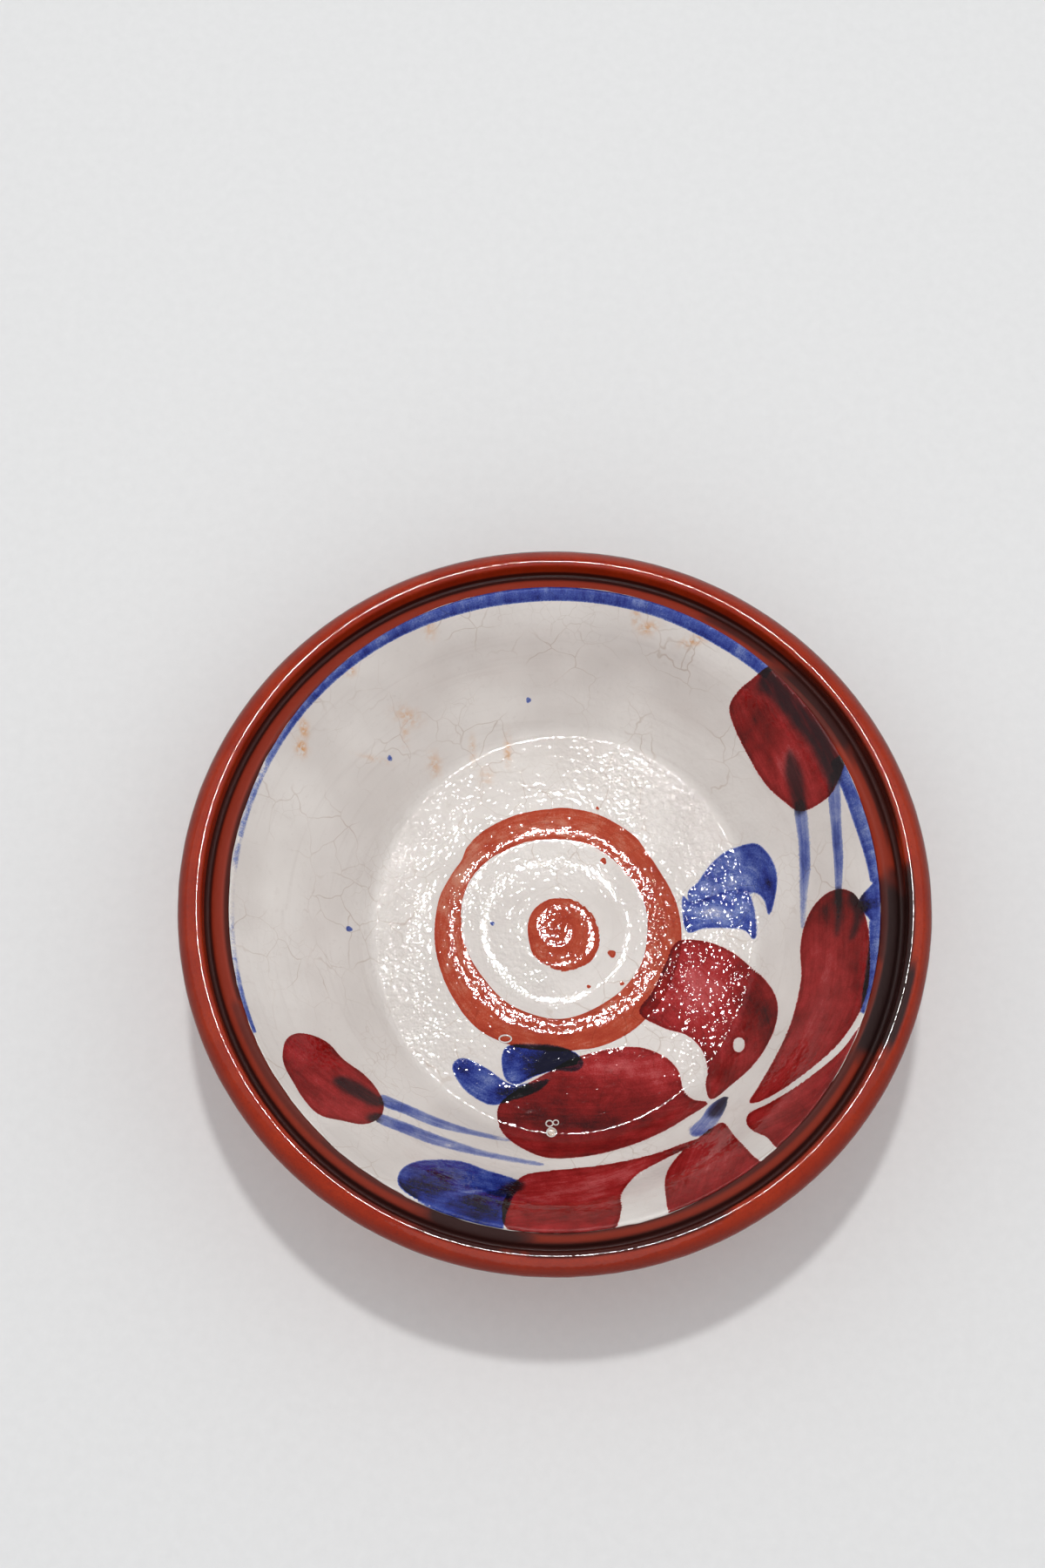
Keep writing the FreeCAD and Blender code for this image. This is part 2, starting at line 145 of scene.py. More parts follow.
def thickness_at(places):
    return np.clip(tone_at(places, THICK), 0, 1)


# The plain section that the outlines below were read against, and the view's slant.
PLAIN_RADII, PLAIN_HEIGHTS = (0, 34, 36, 38, 40, 65.8), (10.1, 10.1, 10.3, 11, 12.2, 36)
VIEW_SLOPE = 0.34


def settled(points):
    """An outline read against the plain section, laid on the real surface."""
    x, y = np.asarray(points, float).T
    r = np.hypot(x, y)
    drop = (np.interp(r, PLAIN_RADII, PLAIN_HEIGHTS) - lined_height(x, y)) * smooth(66, 62, r)
    return np.column_stack([x, y + VIEW_SLOPE * np.clip(drop, -4, 4)])


def slip_edge(x, y):
    """How far out the slip reaches: over the lip on the far and near sides, and short of it elsewhere."""
    turn = np.arctan2(y, x)
    return SLIP_EDGE + 0.5 - 0.9 * np.cos(2 * turn)


def closed_curve(points, step):
    """A smooth closed line through points, in even steps."""
    p = np.asarray(points, float)
    rows = []
    for a, b, c, d in zip(np.roll(p, 1, 0), p, np.roll(p, -1, 0), np.roll(p, -2, 0)):
        t = np.linspace(0, 1, 12, endpoint=False)[:, None]
        rows.append(0.5 * (2 * b + (c - a) * t + (2 * a - 5 * b + 4 * c - d) * t ** 2
                           + (3 * b - a - 3 * c + d) * t ** 3))
    return even(np.concatenate(rows + [rows[0][:1]]), step)[:-1]


def even(line, step):
    """A line in even steps."""
    line = np.asarray(line, float)
    run = np.concatenate([[0], np.cumsum(np.linalg.norm(np.diff(line, axis=0), axis=1))])
    count = max(3, int(round(run[-1] / step)))
    at = np.linspace(0, run[-1], count + 1)
    return np.stack([np.interp(at, run, line[:, k]) for k in range(line.shape[1])], -1)


def rounded(points, times):
    """Corners cut off again and again, with the ends kept."""
    p = np.asarray(points, float)
    for _ in range(times):
        a, b = p[:-1], p[1:]
        inner = np.stack([0.75 * a + 0.25 * b, 0.25 * a + 0.75 * b], 1).reshape(-1, p.shape[1])
        p = np.concatenate([p[:1], inner[1:-1], p[-1:]])
    return p


def nearest(places, line, closed):
    """Distance to a line, how far along it, and on which side."""
    a = line
    b = np.roll(line, -1, 0)
    if not closed:
        a, b = a[:-1], b[:-1]
    ab = b - a
    length = np.maximum(np.linalg.norm(ab, axis=1), 1e-9)
    run = np.concatenate([[0], np.cumsum(length)])[:-1]
    to = places[:, None, :] - a[None]
    t = np.clip((to * ab[None]).sum(-1) / length[None] ** 2, 0, 1)
    away = np.linalg.norm(to - t[..., None] * ab[None], axis=-1)
    k = away.argmin(1)
    rows = np.arange(len(places))
    side = np.sign(ab[k, 0] * to[rows, k, 1] - ab[k, 1] * to[rows, k, 0])
    return away[rows, k], run[k] + t[rows, k] * length[k], side


def inside(places, outline):
    x, y = places[:, 0][:, None], places[:, 1][:, None]
    ax, ay = outline[:, 0][None], outline[:, 1][None]
    bx, by = np.roll(outline, -1, 0).T[:, None, :]
    crosses = ((ay > y) != (by > y)) & (x < (bx - ax) * (y - ay) / np.where(by == ay, 1e-9, by - ay) + ax)
    return crosses.sum(1) % 2 == 1


FAR_AWAY = -3.0


def depth_in(places, outlines):
    """How deep a place lies inside a set of outlines: below zero outside. The second and later
    outlines of a set are holes."""
    depth = None
    for index, outline in enumerate(outlines):
        low, high = outline.min(0) + FAR_AWAY, outline.max(0) - FAR_AWAY
        close = np.all((places > low) & (places < high), axis=1)
        signed = np.full(len(places), FAR_AWAY)
        if close.any():
            away = nearest(places[close], outline, True)[0]
            signed[close] = np.where(inside(places[close], outline), away, -away)
        signed = np.clip(signed, FAR_AWAY, None)
        depth = signed if index == 0 else np.minimum(depth, -signed)
    return depth


# The painting

OUTLINE_STEP, SMALL_STEP = 0.45, 0.15
# How the names of the strokes with soft edges start.
SOFT_STARTS = ("blue_knot", "blue_stem")
painting = {}


def brush(name, kind, outline, spine, patches, *holes):
    """Notes a stroke: its colour, its outline, the line that the brush followed, soft patches where the
    colour lies thicker or thinner (x, y, half length, half width, turn in degrees, strength), and holes."""
    loops = [closed_curve(settled(points), OUTLINE_STEP) for points in (outline, *holes)]
    painting[name] = dict(colour=kind, loops=loops, spine=spine, patches=patches, soft=name.startswith(SOFT_STARTS))


# The ring's paler patches on its upper left and far side are painted sheen; it is painted darker on its near side.
brush("red_slip_ring", "ring", [
    (0.5, 27), (-7.5, 25.6), (-14.1, 22.4), (-17.9, 18.7), (-19.4, 15.4), (-21.5, 12.2), (-24, 7), (-24.9, 0),
    (-24.1, -6.6), (-21.4, -13.6), (-16.6, -20.3), (-10.6, -23.9), (-4.9, -25.2), (0, -25.6), (8, -25.2),
    (14.4, -22.7), (18.7, -19.4), (22.8, -14.4), (25.6, -8), (26.9, -2.3), (26.6, 3.4), (25.1, 8.4), (22.3, 13.4),
    (19.8, 17.5), (17.2, 21), (10.9, 25.1), (5.1, 26.8)], [],
    [(-21, 12, 9, 3, 60, -0.22), (-19, 3, 12, 3, 85, -0.12), (0, 23, 14, 4, 0, -0.12), (22, 6, 9, 3, 100, 0.05),
     (0, -22, 15, 2.5, 0, 0.1)],
    [(0, 19.9), (5.1, 19.5), (10.1, 17.4), (14.4, 13.6), (17.8, 9.1), (19.3, 4.9), (19.6, -0.1), (18.4, -6.6),
     (15.1, -11.6), (10.9, -15.1), (5.1, -18), (0, -18.7), (-5.6, -17.3), (-10.4, -14.6), (-14.9, -9.4),
     (-18.1, -3.7), (-19.1, 2), (-18.8, 7), (-16.6, 12), (-12.7, 15.9), (-7, 18.8), (-3.4, 19.7)])
brush("red_slip_dot", "ring", [
    (-5.4, 0.6), (-4.6, 3.8), (-2.7, 5.9), (0.1, 7.1), (3.7, 6.9), (6.6, 5.3), (8.7, 2.7), (9.7, -0.9),
    (9.4, -4.1), (7.8, -6.7), (5.1, -8.1), (2.3, -8.8), (-0.6, -8), (-3.1, -6.4), (-4.7, -4.1)], [],
    [(2, 1, 4, 4, 0, 0.15)])
brush("red_bud_upper", "red", [
    (36.9, 42.5), (38.2, 45.3), (41, 47.2), (45, 48.6), (50, 44), (55.5, 36.5), (59, 29.5), (57.3, 24),
    (55.3, 21.8), (51.2, 20.6), (48, 23.3), (44.4, 27.6), (40.9, 33.7), (38.5, 38.3)],
    [(52, 20), (48.5, 30), (44, 38), (40, 46)],
    [(49, 31, 5, 2, 115, -0.35), (42, 39, 6, 4, 120, 0.22), (52, 36, 9, 2.5, 125, 0.15), (44, 46, 4, 2, 20, 0.15)])
brush("red_bud_left", "red", [
    (-53.5, -31.5), (-53.2, -28), (-51.4, -26), (-48.5, -25.7), (-45.2, -27), (-42.3, -30.1), (-38.2, -33),
    (-35.4, -36.4), (-34.1, -40), (-35, -42.8), (-37.6, -44.4), (-41.5, -44.1), (-45.9, -43.3), (-49, -40.3),
    (-51.2, -36.8), (-52.8, -34)],
    [(-33, -41), (-40, -37), (-46, -33), (-52, -28)],
    [(-45, -36, 5, 2.5, 120, -0.04), (-50, -29, 4, 3, 0, -0.1), (-41, -42, 5, 1.6, 10, -0.12),
     (-48, -38, 5, 2, 120, 0.1)])
# Its pale middle stands for thinner colour and for painted sheen where the glaze glitters over it.
brush("red_petal_inner", "red", [
    (17.7, -17.6), (20.6, -13), (23.2, -7.5), (25.7, -2.6), (30.5, -2.2), (35.5, -3.8), (39.6, -7.4), (43.3, -12),
    (45.5, -17.3), (45.2, -22.5), (43, -27.6), (39.8, -31.9), (35.8, -35.2), (31.8, -38), (30.9, -34.6),
    (31.5, -30.5), (30.3, -26), (27.3, -22.4), (22.6, -20.8)],
    [(31, -39), (36, -28), (34, -16), (26, -8)],
    [(31, -13, 8, 6, 100, -0.38), (42, -18, 8, 3, 110, 0.4), (34, -30, 6, 2, 120, 0.25),
     (22, -14, 7, 2.4, 55, -0.12)],
    [(37.2, -24.6), (38.3, -24.5), (39, -25.6), (38.8, -27.2), (37.8, -28), (36.9, -27.2), (36.8, -25.8)])
brush("red_petal_long", "red", [
    (57.3, 3.4), (54, 1.8), (51.6, -2.3), (50.5, -7.6), (50.3, -14), (48.2, -22.3), (45, -29.4), (41, -36.2),
    (38.7, -40), (42, -39.3), (48, -35.6), (55.1, -29.8), (59.8, -23.2), (61.9, -16.6), (62.5, -7.3),
    (61.7, -1.8), (60.2, 1.9)],
    [(38, -41), (46, -34), (54, -22), (56.5, -10), (57, 4)],
    [(54, -14, 12, 3, 85, -0.16), (57, 0, 5, 4, 0, 0.42), (47, -31, 8, 2, 60, -0.12), (60, -14, 9, 1.2, 85, 0.12)])
brush("red_petal_outer_right", "red", [
    (37.6, -44.4), (38.5, -42.2), (42.2, -40.4), (48.4, -36.7), (55.6, -31.2), (60.5, -25.2), (64, -22),
    (64, -28), (55, -41.5), (45.8, -50.5), (42.6, -50.6), (40.8, -47.9), (38.6, -46.3)],
    [(37, -45), (48, -41), (57, -33), (64, -23)],
    [(50, -42, 9, 1.6, 38, 0.15), (46, -39.5, 6, 1.2, 28, -0.12), (58, -35, 8, 1.5, 50, 0.25)])
brush("red_petal_outer_near", "red", [
    (33.6, -44), (35.4, -47.5), (38, -51.8), (40.2, -55), (34, -60.5), (27, -63.8), (22, -64.2), (21, -58.8),
    (21.6, -54.4), (24.4, -50.5), (28.7, -46.7), (31.6, -44.6)],
    [(33, -44), (29, -52), (27, -58), (24, -65)],
    [(29, -52, 6, 4, 60, -0.18), (30, -60, 8, 2, 25, 0.18)])
brush("red_petal_big", "red", [
    (12.3, -25.1), (18, -25), (22.8, -27), (25.5, -30.6), (26.4, -34.8), (28.2, -37.4), (31, -38.8), (27, -41.4),
    (21.6, -44.5), (15, -47.2), (7.3, -49.2), (-1, -49.8), (-6.6, -47.5), (-10.3, -44.2), (-11.6, -40.6),
    (-10.9, -36.8), (-7, -33.4), (-1, -30), (4, -27.2)],
    [(32, -38), (20, -40), (6, -41), (-12, -40)],
    [(14, -29, 9, 3, 0, -0.3), (1, -35, 11, 3.6, 10, 0.24), (22, -32, 4, 3, 90, -0.15), (19, -36, 7, 2, 10, 0.25),
     (0, -40, 14, 2.5, 0, 0.3), (4, -44.4, 13, 0.7, 5, 0.05), (2, -46.5, 12, 1.6, 5, 0.22),
     (10, -41, 14, 2, 5, 0.18)])
brush("red_petal_near", "red", [
    (30, -47), (26.6, -47.4), (19.4, -49.7), (10, -51.5), (-2, -53), (-6.8, -54.6), (-9.5, -58.3), (-10.4, -61.8),
    (-9, -66), (0, -67.5), (10, -66.4), (12.4, -62), (12.7, -58.5), (16, -54.4), (21.6, -51.2), (26.5, -48.9)],
    [(30, -47.5), (20, -52), (8, -57), (-12, -60)],
    [(0, -57, 9, 4, 0, -0.22), (12, -53.5, 9, 2.2, 15, -0.34), (2, -63, 12, 2, 0, 0.15),
     (24, -48.6, 5, 1, 20, 0.15)])
# Its paler patches in the middle are painted highlight where the glaze glitters over the blue.
brush("blue_leaf_arch", "blue", [
    (28.6, 8.6), (30.4, 10.2), (32.3, 12.9), (34.6, 15.3), (38, 16.6), (42.3, 16.7), (44.7, 14.3), (46.2, 11),
    (46.6, 8), (46.1, 4.5), (45, 1.2), (44.2, 4.6), (42.6, 6.6), (40.4, 7), (36, 7.4), (31, 6), (28.6, 6.4)],
    [(31, 11), (38, 14), (43.5, 12), (45, 1)],
    [(45, 9, 6, 1.6, 100, 0.36), (42, 9, 4, 1.2, 120, -0.15), (35, 9.6, 6, 2, 20, -0.25)])
# Its pale middle is painted highlight where the glaze glitters over the blue.
brush("blue_leaf_base", "blue", [
    (27.3, 7.4), (28.8, 6.2), (32, 7.4), (36.5, 9), (40.2, 8.4), (41.9, 4.6), (42.5, -0.3), (42, -3.2),
    (40, -0.7), (36, 0.4), (31.4, 0.4), (28.2, -0.4), (27.2, 3)],
    [(27.5, 3), (35, 5), (42, -1)],
    [(34, 3.6, 6, 1.6, 5, -0.4), (33, 7.4, 6, 0.8, 18, 0.3), (28, 1.5, 1.4, 3, 0, 0.25),
     (40.5, 2.5, 1.6, 4, 10, 0.15)])
brush("blue_leaf_by_ring", "blue", [
    (-10.6, -29), (-10.5, -26), (-8.8, -24.4), (-4, -24.2), (1, -24.7), (4.6, -26.2), (6, -28.3), (4.4, -29.8),
    (0, -29.7), (-4, -30.9), (-7.5, -32.5), (-9.8, -31.6)],
    [(-10, -29), (-3, -27.5), (6, -28)],
    [(-7, -27, 3, 2.5, 0, 0.28), (1, -27, 6, 3, 0, 0.95), (-2, -30, 5, 1.6, 20, 0.7)])
brush("blue_leaf_small", "blue", [
    (-20.8, -29.3), (-20, -27.5), (-17.8, -27.3), (-13.7, -29.4), (-9, -32.6), (-5, -32.4), (-1, -31.6),
    (-3.5, -34), (-9, -36.2), (-13, -37.4), (-17, -35.3), (-19.5, -32.4)],
    [(-20, -28), (-14, -33), (-3, -34)],
    [(-18, -29, 2.5, 2, 0, 0.4), (-11, -34.5, 4, 2, 30, 0.35), (-14, -33, 4, 1.4, 30, -0.15),
     (-5, -33, 5, 2, 10, 0.6)])
brush("blue_leaf_near", "blue", [
    (-30.3, -56.8), (-30, -54), (-27.6, -52), (-24, -51.3), (-18.7, -51.4), (-13.7, -53.2), (-7.2, -55.6),
    (-8.4, -58.8), (-9.6, -62.4), (-11, -66.5), (-17, -65.2), (-24, -61.8), (-28.4, -59)],
    [(-30, -55), (-22, -57), (-8, -60)],
    [(-24, -56, 8, 4, 20, 0.64), (-15, -61, 6, 3.5, 20, 0.72), (-16, -56, 6, 1.6, -10, -0.1),
     (-9.5, -56.6, 3.5, 1.8, 0, 0.65), (-16, -57.6, 4, 0.35, 12, -0.7)])
brush("blue_knot", "blue", [
    (34.6, -37.8), (34, -40.8), (32.4, -43.6), (30.4, -46), (27.6, -46.2), (27.2, -44.4), (29.6, -42),
    (31.4, -39.4)],
    [(34.5, -37.5), (31, -42), (27.5, -46)],
    [(33, -38.5, 2.2, 1.6, 60, 0.5), (28.5, -45.2, 1.8, 1.2, 30, 0.25), (31, -42.5, 2.5, 1.2, 55, -0.05)])
brush("blue_blot_right", "blue", [
    (61.4, 0.6), (63.3, 2.6), (66, 5), (67, 0), (66, -5), (63.6, -5), (62.3, -3.2), (61.3, -1.2)],
    [(61, 0), (66, 0)],
    [(62, -2, 1.4, 2, 0, 0.55), (64, 0, 1.5, 3, 0, 0.25)])
brush("blue_stem_upper_inner", "blue", [
    (50, 22), (50.8, 15), (51, 9), (50.9, 4), (50.9, -2.6), (51.4, -2.6), (52.1, 4), (52.7, 9), (52.6, 15),
    (51.8, 22)],
    [(51, 23), (51.8, 12), (51.3, -2)],
    [(51.7, 13, 4, 1.4, 90, 0.25), (51.2, 1, 5, 1.4, 90, -0.25)])
brush("blue_stem_upper_outer", "blue", [
    (56, 25.4), (56.7, 15), (57.1, 9), (57.3, 1), (57.9, 1), (58.6, 9), (58.4, 15), (57.9, 25.4)],
    [(57, 25), (57.6, 12), (57.6, 1)],
    [(57.6, 12, 6, 1.4, 90, 0.25)])
brush("blue_stem_left_upper", "blue", [
    (-34.6, -37.3), (-30, -38.9), (-24, -41.4), (-17, -43.7), (-9.6, -45.3), (-9.8, -45.9), (-17.6, -44.9),
    (-24.6, -43.4), (-30.2, -41.1), (-34.4, -39.6)],
    [(-35, -38), (-24, -42.4), (-9, -45.8)],
    [(-32, -39.5, 4, 1.4, 25, 0.3), (-14, -44.6, 5, 1, 12, -0.2)])
brush("blue_stem_left_lower", "blue", [
    (-35.6, -41.6), (-31.2, -42.8), (-24, -45.5), (-14.6, -48.5), (-3.4, -50.9), (-3.6, -51.5), (-14.4, -49.9),
    (-24.2, -47.8), (-30.6, -45.4), (-35, -43.6)],
    [(-36, -42.5), (-24, -46.6), (-3, -51.4)],
    [(-30, -44, 6, 1.4, 22, 0.35), (-22, -47, 3, 0.6, 20, -0.3)])

# Places where blue lies under red and looks nearly black.
DARK_PLACES = [
    [(48.4, 33), (50, 31.4), (51.4, 28), (52, 24), (51.9, 20.4), (50.1, 20.2), (49, 24.6), (47.9, 28.6)],
    [(44.8, 47.8), (49.4, 43), (53.6, 37.4), (57.2, 31.2), (58.4, 25.2), (56, 24.6), (52.6, 32.4), (48.8, 38),
     (45.2, 42.4), (42, 46.4)],
    [(-44.2, -35.3), (-42.4, -33.9), (-39, -35), (-36, -37), (-33.9, -39.2), (-36, -40.4), (-39.6, -38.8),
     (-42.6, -37.2)],
    [(-36.2, -41.6), (-37.4, -43), (-36, -44), (-34.2, -43.2)],
    [(60.2, 3.2), (62.4, 1.6), (62, -3), (60.4, -7), (59, -7.6), (60, -2.6), (59.2, 0.6)],
    [(56.9, 3.4), (58.2, 3.2), (58, -2), (57.4, -6), (56.6, -6), (57, -1)],
    [(35.6, -38.2), (34.4, -36.6), (31.6, -39.4), (30.6, -41.6), (32.4, -42.6), (34.6, -40.6)],
    [(-8.6, -55.4), (-6.2, -55.6), (-6.4, -57.4), (-9.4, -58.2), (-10.4, -56.8)],
    [(63.8, -24), (62.8, -22.4), (59, -29.6), (54.6, -36), (52.6, -38.8), (53.4, -39.4), (57.6, -34.4)],
]

# Drops and specks of colour: x, y, radius.
DROPS = (
    ("red_drop_", "ring", (
        (10.7, 15.2, 0.75), (12.2, -5, 0.85), (14.2, -11.3, 0.5), (7.3, -12, 0.45), (9.6, 27, 0.4),
        (25, 5.2, 0.9))),
    ("blue_speck_", "blue", (
        (-42.3, -0.7, 0.6), (-5, 49.5, 0.5), (-34.2, 35.3, 0.5), (-12.7, 1.6, 0.45))),
)

# The blue band under the ledge: start and end in degrees, and widths at even places from start to end.
BANDS = {
    "blue_band_far": (47, 205, (1.7, 2, 2, 2.2, 2.3, 2.1, 1.6, 1.2, 0.9, 0.8, 0.8, 0.8, 0.7, 0.5)),
    "blue_band_right": (3, 27, (1.3, 1.7, 2.1, 2, 1.8)),
    "blue_band_near": (-21.5, -4, (0.6, 1.3, 1.6, 1.6, 1.8)),
}
BAND_PAST = 2.0
BAND_FADES = [(0, 66, 60, 30, 0, 0.1), (-66, 0, 9, 26, 0, -0.8), (-58, 26, 9, 8, 0, -0.3),
              (-10, 65, 5, 5, 0, -0.15), (18, 63, 4, 4, 0, -0.12)]


def band_outline(start, end, widths):
    turn = np.radians(np.linspace(start, end, 4 * len(widths)))
    share = np.linspace(0, 1, len(turn))
    width = np.interp(share, np.linspace(0, 1, len(widths)), widths)
    outer = np.full(len(turn), SLIP_EDGE + BAND_PAST)
    inner = slip_edge(*spun(1, turn)) - width
    turn = np.concatenate([turn, turn[::-1]])
    radius = np.concatenate([outer, inner[::-1]])
    return np.column_stack(spun(radius, turn))


def drop_outline(x, y, radius):
    turn = np.linspace(0, 2 * np.pi, 11, endpoint=False)
    wobble = radius * (1 + 0.12 * np.sin(3 * turn + x) + 0.08 * np.cos(2 * turn + y))
    return np.stack([x + wobble * np.cos(turn), y + wobble * np.sin(turn)], -1)


for name, (start, end, widths) in BANDS.items():
    loops = [even(band_outline(start, end, widths), OUTLINE_STEP)]
    painting[name] = dict(colour="blue", loops=loops, patches=BAND_FADES, band=True)
for first, kind, spots in DROPS:
    for letter, (x, y, radius) in zip("abcdef", spots):
        painting[first + letter] = dict(
            colour=kind, loops=[closed_curve(drop_outline(x, y, radius), SMALL_STEP)],
            patches=[(x, y, 3, 3, 0, -0.3 if kind == "blue" else 0)], small=True)
DARK_LOOPS = [closed_curve(settled(points), OUTLINE_STEP) for points in DARK_PLACES]


def paint_depths(places):
    """For each colour, how deep a place lies inside its strokes. Soft strokes are kept apart."""
    found = {"edge_" + key: np.full(len(places), FAR_AWAY) for key in ("ring", "red", "blue", "stem")}
    for stroke in painting.values():
        key = "edge_" + ("stem" if stroke.get("soft") else stroke["colour"])
        found[key] = np.maximum(found[key], depth_in(places, stroke["loops"]))
    return found


def tone_at(places, patches):
    tone = np.zeros(len(places))
    for x, y, along, across, turn, strength in patches:
        c, s = math.cos(math.radians(turn)), math.sin(math.radians(turn))
        dx, dy = places[:, 0] - x, places[:, 1] - y
        u, v = (dx * c + dy * s) / along, (dy * c - dx * s) / across
        tone += strength * np.exp(-(u * u + v * v))
    return tone


def flow_at(places, stroke):
    """Places along and across the brush's way, for the bristles' streaks."""
    if stroke.get("spine"):
        away, run, side = nearest(places, even(rounded(stroke["spine"], 3), 0.8), False)
        return np.stack([run, away * side, np.zeros(len(places))], -1)
    x, y = places.T
    outward, around = np.hypot(x, y), np.arctan2(y, x) * SLIP_EDGE
    along, across = (outward, around) if stroke.get("band") else (around, outward)
    return np.stack([along, across, np.zeros(len(places))], -1)


# Meshes

def placed(name, data):
    """A new object in the scene."""
    item = bpy.data.objects.new(name, data)
    bpy.context.scene.collection.objects.link(item)
    return item


def add_piece(name, points, faces, material, nodes=(), attributes=None):
    mesh = bpy.data.meshes.new(name)
    mesh.from_pydata((np.asarray(points, float) * MM).tolist(), [], faces)
    for key, values in (attributes or {}).items():
        values = np.asarray(values, np.float32)
        kind, field = ("FLOAT", "value") if values.ndim == 1 else ("FLOAT_VECTOR", "vector")
        mesh.attributes.new(key, kind, "POINT").data.foreach_set(field, values.ravel())
    mesh.materials.append(material)
    mesh.shade_smooth()
    mesh.update()
    piece = placed(name, mesh)
    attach(piece, "root")
    if nodes:
        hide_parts(*nodes)
    return piece


def grid_faces(rows, across, every_row):
    """Faces between closed rows of points. The row after the last of all is the first one."""
    i, j = np.meshgrid(np.arange(rows), np.arange(across), indexing="ij")
    n, k = (i + 1) % every_row, (j + 1) % across
    return np.stack([i * across + j, n * across + j, n * across + k, i * across + k], -1).reshape(-1, 4).tolist()


def turned(profile, segments, shift):
    """Points and faces of a section turned about the axis. The section starts and ends on the axis."""
    profile = np.asarray(profile, float)
    radius, height = profile[1:-1].T
    turn = np.linspace(0, 2 * np.pi, segments, endpoint=False)
    r, t = np.meshgrid(radius, turn, indexing="ij")
    z = np.repeat(height[:, None], segments, 1)
    r, z = shift(r.ravel(), z.ravel(), t.ravel())
    points = np.stack([*spun(r, t.ravel()), z], -1)
    rows = len(radius)
    last_row = (rows - 1) * segments
    first, last = rows * segments, rows * segments + 1
    ends = []
    for a in range(segments):
        b = (a + 1) % segments
        ends += [(first, a, b), (last, last_row + b, last_row + a)]
    start_z, end_z = points[:segments, 2].mean(), points[last_row:, 2].mean()
    points = np.concatenate([points, [[0, 0, start_z], [0, 0, end_z]]])
    return points, grid_faces(rows - 1, segments, rows) + ends


# The triangles' size in a film, and how wide its hidden border is: for strokes, and for drops and specks.
LATTICE, BORDER, SMALL_LATTICE = 0.62, 0.8, 0.22
# How far a film's border lies under the slip's top, how far its underside does, and its rise over the lip.
BORDER_SUNK, FILM_UNDER, LIP_RISE = 0.014, 0.3, 0.13
# Corners nearer to each other are left out, and triangles this far past the border are too.
CORNERS_APART, BORDER_SLACK = 0.05, 0.12
# How far from the border the inner corners start, in cells, and how wide the film's rise is, in borders.
INNER_START, RISE_WIDTH = 0.45, 1.6


def held_in(places):
    """Places drawn back to the slip's edge where they lie outside it."""
    r = np.hypot(*places.T)
    return places * np.minimum(1, (slip_edge(*places.T) + 0.1) / np.maximum(r, 1e-9))[:, None]


def film(stroke, lift, lattice, border):
    """A thin closed skin on the lined surface within an outline. It dives under the surface outside
    the outline."""
    loops = stroke["loops"]
    corners, edges = [], []
    for index, loop in enumerate(loops):
        ahead, behind = np.roll(loop, -1, 0), np.roll(loop, 1, 0)
        along = ahead - behind
        along /= np.maximum(np.linalg.norm(along, axis=1), 1e-9)[:, None]
        x, y = loop.T
        turning = 0.5 * (x * np.roll(y, -1) - np.roll(x, -1) * y).sum()
        outward = np.stack([along[:, 1], -along[:, 0]], -1) * (1 if turning > 0 else -1)
        grown = held_in(loop + outward * border * (1 if index == 0 else -1))
        keep = np.linalg.norm(grown - np.roll(grown, 1, 0), axis=1) > CORNERS_APART
        grown = grown[keep]
        start = len(corners)
        corners += grown.tolist()
        count = len(grown)
        edges += [(start + k, start + (k + 1) % count) for k in range(count)]
    low, high = np.min(corners, 0), np.max(corners, 0)
    xs = np.arange(low[0], high[0], lattice)
    ys = np.arange(low[1], high[1], lattice * 0.866)
    gx, gy = np.meshgrid(xs, ys)
    gx = gx + (np.arange(len(ys)) % 2)[:, None] * lattice / 2
    inner = np.stack([gx.ravel(), gy.ravel()], -1)
    inner = inner[np.hypot(*inner.T) < slip_edge(*inner.T) + 0.1 - 0.3 * lattice]
    inner = inner[depth_in(inner, loops) > -border + INNER_START * lattice]
    flat = [Vector(p) for p in corners + inner.tolist()]
    made = delaunay_2d_cdt(flat, edges, [], 1, 1e-4)
    places = np.array([tuple(v) for v in made[0]])
    triangles = np.array([f for f in made[2] if len(f) == 3])
    middle = places[triangles].mean(1)
    triangles = triangles[depth_in(middle, loops) > -border - BORDER_SLACK]
    a, b, c = (places[triangles[:, k]] for k in range(3))
    area = (b[:, 0] - a[:, 0]) * (c[:, 1] - a[:, 1]) - (b[:, 1] - a[:, 1]) * (c[:, 0] - a[:, 0])
    triangles[area < 0] = triangles[area < 0][:, ::-1]
    used = np.unique(triangles)
    renumber = np.full(len(places), -1)
    renumber[used] = np.arange(len(used))
    places, triangles = places[used], renumber[triangles]
    depth = depth_in(places, loops)
    ground = lined_height(*places.T)
    lift = lift + LIP_RISE * smooth(64.7, 65.3, np.hypot(*places.T))
    rise = -BORDER_SUNK + (lift + BORDER_SUNK) * smooth(-border, RISE_WIDTH * border, depth)
    top = np.column_stack([places, ground + rise])
    bottom = np.column_stack([places, ground - FILM_UNDER])
    count = len(places)
    faces = triangles.tolist() + (triangles[:, ::-1] + count).tolist()
    directed = np.concatenate([triangles[:, [0, 1]], triangles[:, [1, 2]], triangles[:, [2, 0]]])
    known = {tuple(e) for e in directed.tolist()}
    for p, q in directed.tolist():
        if (q, p) not in known:
            faces.append((q, p, p + count, q + count))
    both = np.concatenate([places, places])
    values = paint_depths(both)
    values["tone"] = tone_at(both, stroke["patches"])
    values["dark"] = smooth(-0.5, 0.7, np.max([depth_in(both, [loop]) for loop in DARK_LOOPS], axis=0))
    values["flow"] = flow_at(both, stroke)
    values["thick"] = thickness_at(both)
    values["out"] = np.hypot(*both.T)
    return np.concatenate([top, bottom]), faces, values


# Materials

